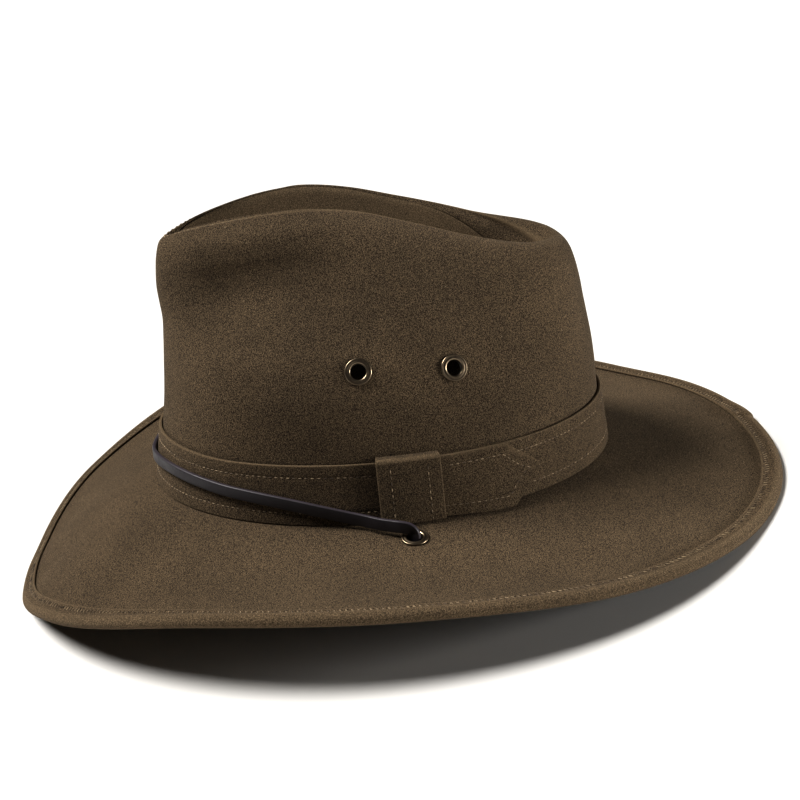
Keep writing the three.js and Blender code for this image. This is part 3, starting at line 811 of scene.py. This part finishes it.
def dentHeight(points, turn, fromRidge):  # the dressed surface between the ridges, above a level place
    x, y = np.abs(points[..., 0]), points[..., 1]
    level = np.interp(y, rimPoints[:, 1], rimTurns)
    wide = np.maximum(np.interp(level, rimTurns, rimPoints[:, 0]), 0.0001)
    hollow = 1 - np.clip(x / wide, 0, 1) ** crown["dentSquareness"]
    floor = np.interp(level, rimTurns, rimPoints[:, 2]) - np.interp(level, rimTurns, dentDepths) * hollow
    plain = fit["crownCloth"] + fit["gap"]
    inside = tableValue(seamInRows, "inside", turn)
    beside = between(folded(turn), ridge["raisedFrom"], ridge["raisedTo"])
    full = (ridge["raised"] - plain) * beside * smoothStep(fromRidge, *ridge["raisedRise"])
    raised = (plain + full) * (1 - smoothStep(fromRidge, *ridge["raisedFall"]))
    groove = ridge["groove"] * bump(fromRidge, inside, ridge["grooveWidth"])
    return floor + raised - groove * smoothStep(inside, *ridge["grooveFrom"])


def insideRidge(turn, distance):
    distance = np.asarray(distance)
    point = seamPoint(turn) + ridgeInward(turn) * distance[..., None]
    point[..., 2] = dentHeight(point, turn, distance)
    return point


def crownSide():
    turn = turnsAround(crown["turns"])[:, None]
    share = np.linspace(0, ridge["start"], crown["rows"])[None]
    wall = crownRelief(turn, share)
    wall[..., 2] = np.maximum(wall[..., 2], fit["gap"])
    rollEnd = ridge["inside"]
    seamAt = tableValue(seamInRows, "inside", turn) - fit["gap"] / 4
    inner = [insideRidge(turn, rollEnd + (seamAt - rollEnd) * k) for k in np.linspace(0, 1, 5)]
    first, last = wall[:, -1:], inner[0]
    reach = 0.45 * np.linalg.norm(last - first, axis=-1, keepdims=True)
    leaving = first + unit(first - wall[:, -2:-1]) * reach
    arriving = last - unit(inner[1] - inner[0]) * reach
    u = np.linspace(0, 1, ridge["rollRows"])[1:-1, None]
    v = 1 - u
    roll = v ** 3 * first + 3 * u * v ** 2 * leaving + 3 * u ** 2 * v * arriving + u ** 3 * last
    points = np.concatenate([wall, roll] + inner, 1)
    wornAndHighlit = np.zeros(points.shape[:2])
    rollStart = crown["rows"] - 1
    # the roll over the ridge painted paler: wear, and a painted highlight
    wornAndHighlit[:, rollStart:rollStart + len(ridge["rollWornAndHighlit"])] = ridge["rollWornAndHighlit"]
    addCloth("crown_side", points, wornAndHighlit, fit["crownCloth"], crown["rimRounding"], holes=vents.values())


def crownTop():
    turn = turnsAround(crown["turns"])[:, None]
    inside = tableValue(seamInRows, "inside", turn) + fit["gap"] / 4
    start = insideRidge(turn, inside)
    spine = outward(turn) * [0, seamHalf - ridge["spineInset"], 0] + [0, seamMiddle, 0]
    share = np.concatenate([np.linspace(0, 0.1, 12), np.linspace(0.1, 1, 44)[1:]])[None, :, None]
    points = start + (spine - start) * share
    fromRidge = inside + np.linalg.norm((points - start)[..., :2], axis=-1)
    points[..., 2] = dentHeight(points, turn, fromRidge)
    lumps = crown["lumpDepth"] * softNoise(points, crown["lumpSize"], 5.3)
    points[..., 2] += lumps * smoothStep(share[..., 0], 0.1, 0.5)
    wornAndHighlit = np.full(points.shape[:2], ridge["topPaler"])
    piece = addCloth("crown_top", points, wornAndHighlit, fit["crownCloth"], crown["rimRounding"])
    mesh = bmesh.new()  # the two sides meet along the dent's middle line
    mesh.from_mesh(piece.data)
    bmesh.ops.remove_doubles(mesh, verts=mesh.verts, dist=0.00005)
    mesh.to_mesh(piece.data)
    mesh.free()


crownSide()
crownTop()
print("crown made")


# brim

def brimFace(turn, share):
    point = brimPoint(turn, share)
    free = between(share, brimSizes["wavesFrom"], brimSizes["wavesTo"])
    point[..., 2] += brimSizes["waveDepth"] * softNoise(point, brimSizes["waveSize"], 1.7) * free
    return point


def brim():
    turn = turnsAround(brimSizes["turns"])[:, None]
    edgeShare = 1 - (binding["wall"] + fit["gap"]) / brimSizes["width"]
    share = np.concatenate([[edgeShare], np.linspace(bindingStart, 0, brimSizes["rows"])])[None]
    outer = brimFace(turn, share)
    inner = outward(turn) * ovalRadius(fit["headLength"], fit["headWidth"], turn)[..., None]
    points = np.concatenate([outer, inner], 1)
    wornAndHighlit = np.zeros(points.shape[:2])
    addCloth("brim", points, wornAndHighlit, brimSizes["cloth"], brimSizes["rimRounding"], holes=strapHoles.values())


brim()
print("brim made")


def bindingLap(turn, x):  # how much the strip's lapped end stands up
    past = turn - binding["lapTurn"] + x / mm * binding["lapSlant"]
    return binding["lapHeight"] * between(past, binding["lapStart"], binding["lapEnd"])


def bindingFace(turn, places):  # places on the strip: how far in from the edge as -x, and which side
    x, side = places[..., 0], places[..., 1]
    inset = x + binding["width"]
    sewn = sum(binding["stitchInsets"]) / 2
    dip = bump(inset, sewn, binding["pressWidth"])
    full = binding["rolled"] * smoothStep(inset, binding["stitchInsets"][1], binding["fullAt"])
    waves = binding["pucker"] * np.sin(np.radians(turn * binding["puckers"]))[:, None] * dip
    lap = bindingLap(turn[:, None], x) * (side > 0)
    height = bindingHalf - binding["pressed"] * dip + full + waves + lap
    middle, out, up = bindingFrame(turn, brimPoint)
    return middle[:, None] + out[:, None] * x[..., None] + up[:, None] * (side * height)[..., None]


def brimBinding():
    turn = turnsAround(binding["turns"])
    width, wall = binding["width"], binding["wall"]
    slot = bindingHalf - wall
    half = bindingHalf + binding["rolled"]
    lap = bindingLap(turn, 0)
    along = np.linspace(-width + binding["lip"], -half, 18)
    middle, out, up = bindingFrame(turn, brimPoint)

    def column(x, z):
        return middle + out * np.reshape(x, (-1, 1)) + up * np.reshape(z, (-1, 1))

    bottom, top = [bindingFace(turn, np.stack([along, side + 0 * along], -1)[None]).transpose(1, 0, 2)
                   for side in (-1, 1)]
    fold = []
    for a in np.radians(np.linspace(-75, 75, 11)):
        radius = half + lap * max(0, math.sin(a))
        fold.append(column(radius * math.cos(a) - half, radius * math.sin(a)))
    hidden = -width + binding["lipInside"]
    inside = [column(x, z) for x, z in ((hidden, slot), (-wall, slot), (-wall, -slot), (hidden, -slot))]
    lip = [column(-width, side * (slot + binding["lipRise"])) for side in (-1, 1)]
    points = np.stack([*inside, lip[0], *bottom, *fold, *top[::-1], lip[1]], 1)
    wornAndHighlit = np.zeros(points.shape[:2])
    foldStart = len(inside) + 1 + len(along)
    wornAndHighlit[:, foldStart - 3:foldStart + len(fold) + 3] = binding["foldWornAndHighlit"]
    wornAndHighlit[:, -3:] = binding["lipWornAndHighlit"]
    resting = rested(points)
    resting[..., 2] = np.maximum(resting[..., 2], 0)
    faces = gridFaces(len(turn), points.shape[1], True, True)
    addPiece("brim_binding_cloth", resting, faces, bindingCotton, ["brim_binding"], wornAndHighlit)


brimBinding()
print("binding made")


# band, its pointed end and the keeper

def bandFace(turn, height):
    fromMiddle = np.abs(height - band["height"] / 2)
    stitched = band["height"] / 2 - band["stitchInset"]
    groove = band["grooveDepth"] * bump(fromMiddle, stitched, band["grooveWidth"])
    stands = band["gape"] * smoothStep(height, band["gapeFrom"], band["height"])
    stands = stands * bump(folded(turn), band["gapeTurn"], band["gapeHalf"])
    return aroundCrown(turn, height, fit["gap"] + band["cloth"] - groove + stands)


def hatBand():
    turn = turnsAround(crown["turns"])[:, None]
    height = np.linspace(fit["gap"], band["height"], band["rows"])[None]
    wornAndHighlit = band["wornAndHighlit"] * smoothStep(height, band["height"] - band["wornAndHighlitHeight"], band["height"]) + 0 * turn
    addCloth("hat_band", bandFace(turn, height), wornAndHighlit, band["cloth"], band["rimRounding"])


tab = {
    "cloth": 0.0015,
    "flare": 0.0036,
    "hidden": 4,
    "turn": 119.3,
    "tipTurn": 129.8,
    "tipWidth": 0.0008,
    "stitchInset": 0.0042,
    "stitchEnd": 1.2,  # degrees before the corners where its lower row turns to the point
    "stitchTip": 3.6,  # degrees before the point
    # how much paler its top edge and point are: wear, and a painted highlight
    "wornAndHighlit": 0.8,
    "rimRounding": 0.0005,
}
keeper = {
    "cloth": 0.0013,
    "length": 0.026,
    "fold": 0.0016,
    "turn": 92.8,
    "stitchInset": 0.0055,
    # how much paler its sides and fold are: wear, and a painted highlight
    "wornAndHighlit": 0.7,
    "rimRounding": 0.0005,
}
keeperOff = 3 * fit["gap"] + band["cloth"] + tab["cloth"] + keeper["cloth"]  # from the crown to its face


def tabFace(turn, share):
    turn, share = together(turn, share)
    gap = fit["gap"]
    off = 2 * gap + band["cloth"] + tab["cloth"]
    taper = np.maximum(0, (turn - tab["turn"]) / (tab["tipTurn"] - tab["turn"]))
    loose = smoothStep(turn, keeper["turn"] + tab["hidden"], tab["turn"])
    top = band["height"] + gap + ((band["height"] + tab["tipWidth"]) / 2 - band["height"] - gap) * taper
    flared = loose * tab["flare"] * (1 - taper)
    foot = brimPoint(turn, brimShare(turn, flared + 2 * gap))[..., 2] + 4 * gap
    bottom = foot + ((band["height"] - tab["tipWidth"]) / 2 - foot) * taper
    height = bottom + (top - bottom) * share
    return aroundCrown(turn, height, off + flared * (1 - share) ** 2)


def bandTab():
    turn = np.concatenate([np.linspace(keeper["turn"] - tab["hidden"], tab["turn"], 90),
                           np.linspace(tab["turn"], tab["tipTurn"], 40)[1:]])[:, None]
    share = np.linspace(0, 1, 40)[None]
    atPoint = smoothStep(turn, tab["turn"], tab["turn"] + 1) * smoothStep(share, 0.8, 1)
    wornAndHighlit = tab["wornAndHighlit"] * np.maximum(smoothStep(share, 0.95, 1) + 0 * turn, atPoint)
    addCloth("band_tab", tabFace(turn, share), wornAndHighlit, tab["cloth"], tab["rimRounding"], closed=False)


def keeperFace(turn, place):  # place runs up the front, over the fold and back to the crown
    gap, off = fit["gap"], keeperOff
    top = band["height"] + 2 * gap + keeper["cloth"]
    fold = keeper["fold"]
    angle = np.radians(90 * np.clip(place - 1, 0, 1))
    height = np.where(place < 1, gap + (top - fold - gap) * place, top + fold * (np.sin(angle) - 1))
    distance = np.where(place < 1, off, off + fold * (np.cos(angle) - 1))
    distance = distance + (gap - distance) * np.clip(place - 2, 0, 1)
    return aroundCrown(turn, height, distance)


def keeperHalf():  # half its length, in degrees
    middle = aroundCrown(keeper["turn"], band["height"] / 2, keeperOff)
    return math.degrees(keeper["length"] / 2 / np.linalg.norm(middle))


def bandKeeper():
    half = keeperHalf()
    turn = np.linspace(keeper["turn"] - half, keeper["turn"] + half, 60)[:, None]
    place = np.concatenate([np.linspace(0, 1, 50), np.linspace(1, 2, 8)[1:], np.linspace(2, 3, 5)[1:]])[None]
    sideways = np.abs(turn - keeper["turn"]) / half
    onFold = between(place, (0.95, 1.2), (1.8, 2))
    wornAndHighlit = keeper["wornAndHighlit"] * np.maximum(smoothStep(sideways, 0.92, 1) + 0 * place, onFold + 0 * turn)
    points = keeperFace(turn, place)
    addCloth("band_keeper", points, wornAndHighlit, keeper["cloth"], keeper["rimRounding"], closed=False)


hatBand()
bandTab()
bandKeeper()
print("band, tab and keeper made")


# eyelets

def addEyelet(name, place, clothThickness):
    bore, flange = eyelet["bore"] / 2, eyelet["flange"] / 2
    barrel, roll = bore + eyelet["wall"], bore + eyelet["roll"]
    front, back = eyelet["seat"], -(clothThickness + eyelet["seat"])
    thick = eyelet["thickness"]
    over = np.linspace(0, math.pi, 25)
    foot, ring = eyelet["domeFoot"], eyelet["ring"]
    rise = foot + (1 - foot) * np.sin(over).clip(0) ** eyelet["domeFullness"]
    rise = rise - ring["depth"] * bump(over, ring["at"], ring["width"])
    dome = list(zip(bore + (flange - bore) * (1 - np.cos(over)) / 2, front + thick * rise))
    under = np.radians(np.linspace(180, 0, 9))
    lip = list(zip(bore + (roll - bore) * (1 - np.cos(under)) / 2, back - 0.8 * thick * np.sin(under)))
    outline = dome + [(flange - 0.0001, front), (barrel, front), (barrel, back)] + lip
    # painted highlight rings on the dome, where tumbling also polishes it
    bright = 0.5 * sum(bump(over, spot["at"], spot["width"]) for spot in eyelet["bright"])
    wearAndHighlight = list(bright) + [0, 0, 0] + [0.2] * len(lip)
    angles = np.radians(turnsAround(eyelet["sides"]))
    rings = [[place @ Vector((r * math.cos(a), r * math.sin(a), z)) for r, z in outline] for a in angles]
    faces = [face[::-1] for face in gridFaces(len(angles), len(outline), True, True)]
    addPiece(name + "_brass", rings, faces, eyeletBrass, [name], [wearAndHighlight] * len(angles))


for name, place in vents.items():
    addEyelet(name, place, fit["crownCloth"])
for name, place in strapHoles.items():
    addEyelet(name, place, brimSizes["cloth"])
print("eyelets made")


# chin strap: the lace's upper stretch from eyelet to eyelet round the front, and the lower one behind

lace = {
    "width": 0.005,
    "thickness": 0.0018,
    "corner": 0.0005,
    "stepsPerSpan": 12,
    "rightDrop": 0.0045,  # how much lower it lies round the wearer's right
    "dropFrom": (0, 20),  # degrees past the front
    "dropTo": (45, 80),
    "holeFacing": 40,  # degrees that it turns from the band on its way into the hole
}

# from the brim eyelet to the front: turn, out from the band's foot, height, and how far the face has turned
# from its way into the hole to standing against the band
strapRows = [
    {"turn": 92, "out": 0.011, "up": -0.008, "face": 0},
    {"turn": 92, "out": 0.011, "up": -0.0028, "face": 0},
    {"turn": 91.8, "out": 0.0109, "up": 0, "face": 0.05},
    {"turn": 90.9, "out": 0.0107, "up": 0.0015, "face": 0.25},
    {"turn": 89.3, "out": 0.0101, "up": 0.0023, "face": 0.6},
    {"turn": 87.2, "out": 0.0084, "up": 0.0025, "face": 0.9},
    {"turn": 84.2, "out": 0.006, "up": 0.0027, "face": 1},
    {"turn": 80, "out": 0.0033, "up": 0.0034, "face": 1},
    {"turn": 75, "out": 0.0017, "up": 0.0047, "face": 1},
    {"turn": 67, "out": 0.0014, "up": 0.0075, "face": 1},
    {"turn": 59, "out": 0.0014, "up": 0.0099, "face": 1},
    {"turn": 51, "out": 0.0014, "up": 0.0116, "face": 1},
    {"turn": 42, "out": 0.0014, "up": 0.0129, "face": 1},
    {"turn": 32, "out": 0.0014, "up": 0.0141, "face": 1},
    {"turn": 22, "out": 0.0014, "up": 0.0146, "face": 1},
    {"turn": 11, "out": 0.0014, "up": 0.0136, "face": 1},
    {"turn": 0, "out": 0.0014, "up": 0.011, "face": 1},
]
loopDrop = [{"back": 0.0015, "up": 0.0045}, {"back": 0.005, "up": 0.0008}]
loopPoints = [
    (0.105, 0.012), (0.106, 0.026), (0.107, 0.042), (0.107, 0.06), (0.104, 0.08), (0.096, 0.1),
    (0.082, 0.118), (0.063, 0.132), (0.042, 0.141), (0.021, 0.146), (0, 0.148),
]


def throughPoints(points, facings, steps):  # a centripetal curve through the route's points
    points, facings = np.array(points), np.array(facings)
    padded = np.concatenate([[2 * points[0] - points[1]], points, [2 * points[-1] - points[-2]]])
    places, turned = [], []
    for i in range(len(points) - 1):
        a, b, c, d = padded[i:i + 4]
        before, span, after = [np.linalg.norm(q - p) ** 0.5 for p, q in ((a, b), (b, c), (c, d))]
        startSlope = ((b - a) / before - (c - a) / (before + span) + (c - b) / span) * span
        endSlope = ((c - b) / span - (d - b) / (span + after) + (d - c) / after) * span
        last = i == len(points) - 2
        for u in np.linspace(0, 1, steps + 1)[:None if last else -1]:
            places.append(b + u * startSlope + u * u * (3 * (c - b) - 2 * startSlope - endSlope)
                          + u ** 3 * (2 * (b - c) + startSlope + endSlope))
            turned.append(facings[i] * (1 - u) + facings[i + 1] * u)
    return np.array(places), np.array(turned)


def laceSections(places, facings):
    along = unit(np.gradient(places, axis=0))
    across = unit(np.cross(facings, along))
    face = unit(np.cross(along, across))
    half, thin, corner = lace["width"] / 2, lace["thickness"] / 2, lace["corner"]
    outline = []
    for sideX, sideY, start in ((1, -1, -90), (1, 1, 0), (-1, 1, 90), (-1, -1, 180)):
        a = np.radians(start + np.array([0, 30, 60, 90]))
        x, y = sideX * (half - corner) + corner * np.cos(a), sideY * (thin - corner) + corner * np.sin(a)
        outline += list(zip(x, y))
    outline = np.array(outline)
    wearAndHighlight = 0.5 * smoothStep(np.abs(outline[:, 0]), half - corner, half)
    sections = places[:, None] + across[:, None] * outline[:, :1] + face[:, None] * outline[:, 1:]
    return sections, np.broadcast_to(wearAndHighlight, sections.shape[:2])


def addLace(name, node, points, facings):
    places, turned = throughPoints(points, facings, lace["stepsPerSpan"])
    sections, wornAndHighlit = laceSections(places, turned)
    sections[..., 2] = np.maximum(sections[..., 2], 0)
    rows, columns = sections.shape[:2]
    faces = [face[::-1] for face in gridFaces(rows, columns, False, True)]
    faces += [tuple(range(columns)), tuple(reversed(range((rows - 1) * columns, rows * columns)))]
    piece = addPiece(name, sections, faces, laceHide, [node], wornAndHighlit)
    length = float(np.linalg.norm(np.diff(places, axis=0), axis=1).sum())
    return length


def mirrored(values):
    return [value * np.array([-1, 1, 1]) for value in values[-2::-1]]


def upperStretch():
    points, facings = [], []
    rightRows = [{**row, "turn": -row["turn"]} for row in strapRows[-2::-1]]
    for row in strapRows + rightRows:
        away = abs(row["turn"])
        drop = lace["rightDrop"] * smoothStep(-row["turn"], *lace["dropFrom"])
        up = row["up"] - drop * (1 - smoothStep(away, *lace["dropTo"]))
        foot = bandFoot(away)
        onBand = np.linalg.norm(aroundCrown(away, max(up, 0), fit["gap"] + band["cloth"])[:2])
        follow = onBand - foot if row["out"] < eyelet["strapReach"] / 3 else 0
        point = outward(row["turn"]) * (foot + row["out"] + follow)
        point[2] = up
        flat = outward(math.copysign(away - lace["holeFacing"], row["turn"]))
        points.append(rested(point))
        facings.append(leaned(flat + (outward(row["turn"]) - flat) * row["face"]))
    return addLace("chin_strap_lace", "chin_strap", points, facings)


def lowerStretch():
    bottom = strapRows[0]
    hole = outward(bottom["turn"]) * (bandFoot(bottom["turn"]) + bottom["out"])
    hole[2] = bottom["up"]
    down = leaned(np.array([0, 0, -1.0]))
    hole = rested(hole) + down * fit["gap"]
    level = lace["thickness"] / 2
    points = [hole, hole + down * lace["width"] / 2]
    points += [np.array([hole[0], hole[1] + row["back"], level + row["up"]]) for row in loopDrop]
    points += [np.array([x, y, level]) for x, y in loopPoints]
    points += mirrored(points)
    facings = []
    for i in range(len(points)):
        fromEnd = min(i, len(points) - 1 - i)
        facings.append(unit(np.array([0, -1.0 if fromEnd < 3 else 0.0, 0.0 if fromEnd < 2 else 1.0])))
    return addLace("chin_strap_loop_lace", "chin_strap_loop", points, facings)


upperLength, lowerLength = upperStretch(), lowerStretch()
print(f"lace {upperLength:.3f} m above and {lowerLength:.3f} m below")


# stitches

stitch = {
    "pitch": 0.0026,
    "length": 0.0016,
    "radius": 0.0002,
    "sides": 6,
    "swell": (0.35, 0.9, 1, 0.9, 0.35),  # its thickness along it, and how far it stands up
    "rise": (-0.5, 0.35, 0.6, 0.35, -0.5),
    "wander": 0.12,  # how unevenly the stitches fall, as a share of their length
}


def stitchRow(places, normals):  # one stitch if the row is short
    steps = np.linalg.norm(np.diff(places, axis=0), axis=1)
    at = np.concatenate([[0], np.cumsum(steps)])
    corners, faces = [], []
    count = max(1, int(at[-1] / stitch["pitch"]))
    length = min(stitch["length"], at[-1]) if count > 1 else at[-1]
    swell, rise = np.array(stitch["swell"]), np.array(stitch["rise"])
    sides, rings = stitch["sides"], len(stitch["swell"])
    spokes = np.radians(turnsAround(sides))
    last = (rings - 1) * sides
    shell = gridFaces(rings, sides, False, True) + [range(sides)[::-1], range(last, last + sides)]
    for k in range(count):
        wander = stitch["wander"] * math.sin(k * 12.9898) * length
        here = k * stitch["pitch"] + wander + np.linspace(0, length, rings)
        centre = np.stack([np.interp(here, at, places[:, axis]) for axis in range(3)], -1)
        normal = unit(np.stack([np.interp(here, at, normals[:, axis]) for axis in range(3)], -1))
        along = unit(np.gradient(centre, axis=0))
        across = unit(np.cross(normal, along))
        centre = centre + normal * (rise * stitch["radius"])[:, None]
        base = len(corners)
        for ring in range(rings):
            for a in spokes:
                spoke = across[ring] * math.cos(a) + normal[ring] * math.sin(a)
                corners.append(centre[ring] + spoke * stitch["radius"] * swell[ring])
        faces += [tuple(base + c for c in face) for face in shell]
    return corners, faces


def addStitches(name, rows):
    corners, faces = [], []
    for places, normals in rows:
        more, moreFaces = stitchRow(rested(places), leaned(normals))
        faces += [tuple(len(corners) + c for c in face) for face in moreFaces]
        corners += more
    corners = np.array(corners)
    corners[:, 2] = np.maximum(corners[:, 2], 0)
    addPiece(name, corners, faces, threadCotton)


def faceRow(face, turn, other):  # a row of places on a face, with the way out of it
    around = face(turn + 0.1, other) - face(turn - 0.1, other)
    small = 0.0002
    along = face(turn, other + small) - face(turn, other - small)
    return face(turn, other), unit(np.cross(around, along))


def bandStitches():
    half = keeperHalf()
    turn = np.linspace(tab["tipTurn"] - band["stitchUnder"], 360 + keeper["turn"] - half, 900)
    lower, upper = band["stitchInset"], band["height"] - band["stitchInset"]
    addStitches("band_stitches", [faceRow(bandFace, turn, 0 * turn + height) for height in (lower, upper)])


def tabStitches():  # along the lower edge, round the point and back along the top
    inset = tab["stitchInset"]
    corner = tab["turn"] - tab["stitchEnd"]
    along = np.linspace(keeper["turn"] + keeperHalf() + 0.3, corner, 90)
    toTip = np.linspace(corner, tab["tipTurn"] - tab["stitchTip"], 40)
    turn = np.concatenate([along, toTip, toTip[::-1], along[::-1]])
    edge = inset / band["height"]
    climb = (toTip - toTip[0]) / (toTip[-1] - toTip[0])
    low = np.concatenate([0 * along + edge, edge + (0.5 - edge) * climb])
    share = np.concatenate([low, 1 - low[::-1]])
    addStitches("tab_stitches", [faceRow(tabFace, turn, share)])


def keeperStitches():
    half = keeperHalf() * (1 - 2 * keeper["stitchInset"] / keeper["length"])
    place = np.linspace(0.02, 0.97, 160)
    rows = [faceRow(keeperFace, 0 * place + keeper["turn"] + side * half, place) for side in (-1, 1)]
    addStitches("keeper_stitches", rows)


def bindingStitches():  # slanted stitches by the inner fold, above and below
    count = binding["puckers"]
    inner, outer = binding["stitchInsets"]
    rows = []
    for side in (1, -1):
        turn = (np.arange(count)[:, None] + np.linspace(0, 0.45, 5)).ravel() * 360 / count
        inset = np.tile(np.linspace(inner, outer, 5), count) - binding["width"]
        places = bindingFace(turn, np.stack([inset, side + 0 * inset], -1)[:, None])
        normals = side * bindingFrame(turn, brimPoint)[2]
        rows += list(zip(places.reshape(count, 5, 3), normals.reshape(count, 5, 3)))
    addStitches("binding_stitches", rows)


def ridgeStitches():  # they hold the front pinch together
    rows = []
    for side in (1, -1):
        turn = side * np.linspace(3, ridge["stitchTurn"], 220)
        share = 0 * turn + ridge["start"]
        rows.append((crownRelief(turn, share), faceNormal(crownPoint, turn, share)))
    addStitches("ridge_stitches", rows)


bandStitches()
tabStitches()
keeperStitches()
bindingStitches()
ridgeStitches()
print("stitches made")


# studio

# a softbox so far off that it lights the floor evenly, and a low disk behind that rims the crown
overhead = {"from": (-0.14, -0.52, 0.84), "spread": 28, "strength": 5.9, "tint": "#fffdfa"}
low = {"place": (0.5, 1.4, 0.08), "target": (0, 0.03, 0.06), "size": 0.6, "strength": 34, "tint": "#fffefc"}
room = {
    "ambient": 0.01,
    "gamma": 0.8,
    "floor": "#dfdedc",
    "floorReach": 30,
}


def addLight(name, kind, look, towards):  # towards: from what it lights to the lamp
    light = bpy.data.lights.new(name, kind)
    light.energy = look["strength"]
    light.color = colour(look["tint"])[:3]
    made = bpy.data.objects.new(name, light)
    made.rotation_euler = towards.to_track_quat("Z", "Y").to_euler()
    scene.collection.objects.link(made)
    return made, light


def studio():
    made, light = addLight("overheadLight", "SUN", overhead, Vector(overhead["from"]))
    light.angle = math.radians(overhead["spread"])
    made, light = addLight("backLight", "AREA", low, Vector(low["place"]) - Vector(low["target"]))
    made.location = low["place"]
    light.shape = "DISK"
    light.size = low["size"]
    world = bpy.data.worlds.new("studio")
    world.use_nodes = True
    world.node_tree.nodes["Background"].inputs["Color"].default_value = colour("#ffffff")
    world.node_tree.nodes["Background"].inputs["Strength"].default_value = room["ambient"]
    scene.world = world
    scene.view_settings.view_transform = "Standard"
    scene.view_settings.gamma = room["gamma"]
    reach = room["floorReach"]
    corners = [(x * reach, y * reach, 0) for x, y in ((-1, -1), (1, -1), (1, 1), (-1, 1))]
    mesh = bpy.data.meshes.new("floor")
    mesh.from_pydata(corners, [], [(0, 1, 2, 3)])
    floor = bpy.data.objects.new("floor", mesh)
    scene.collection.objects.link(floor)
    made, tree = newMaterial("paintedFloor")
    shader = addNode(tree, "ShaderNodeBsdfPrincipled", values={
        "Base Color": colour(room["floor"]), "Roughness": 0.9})
    addNode(tree, "ShaderNodeOutputMaterial", links={"Surface": shader.outputs["BSDF"]})
    mesh.materials.append(made)


studio()
print("studio set")
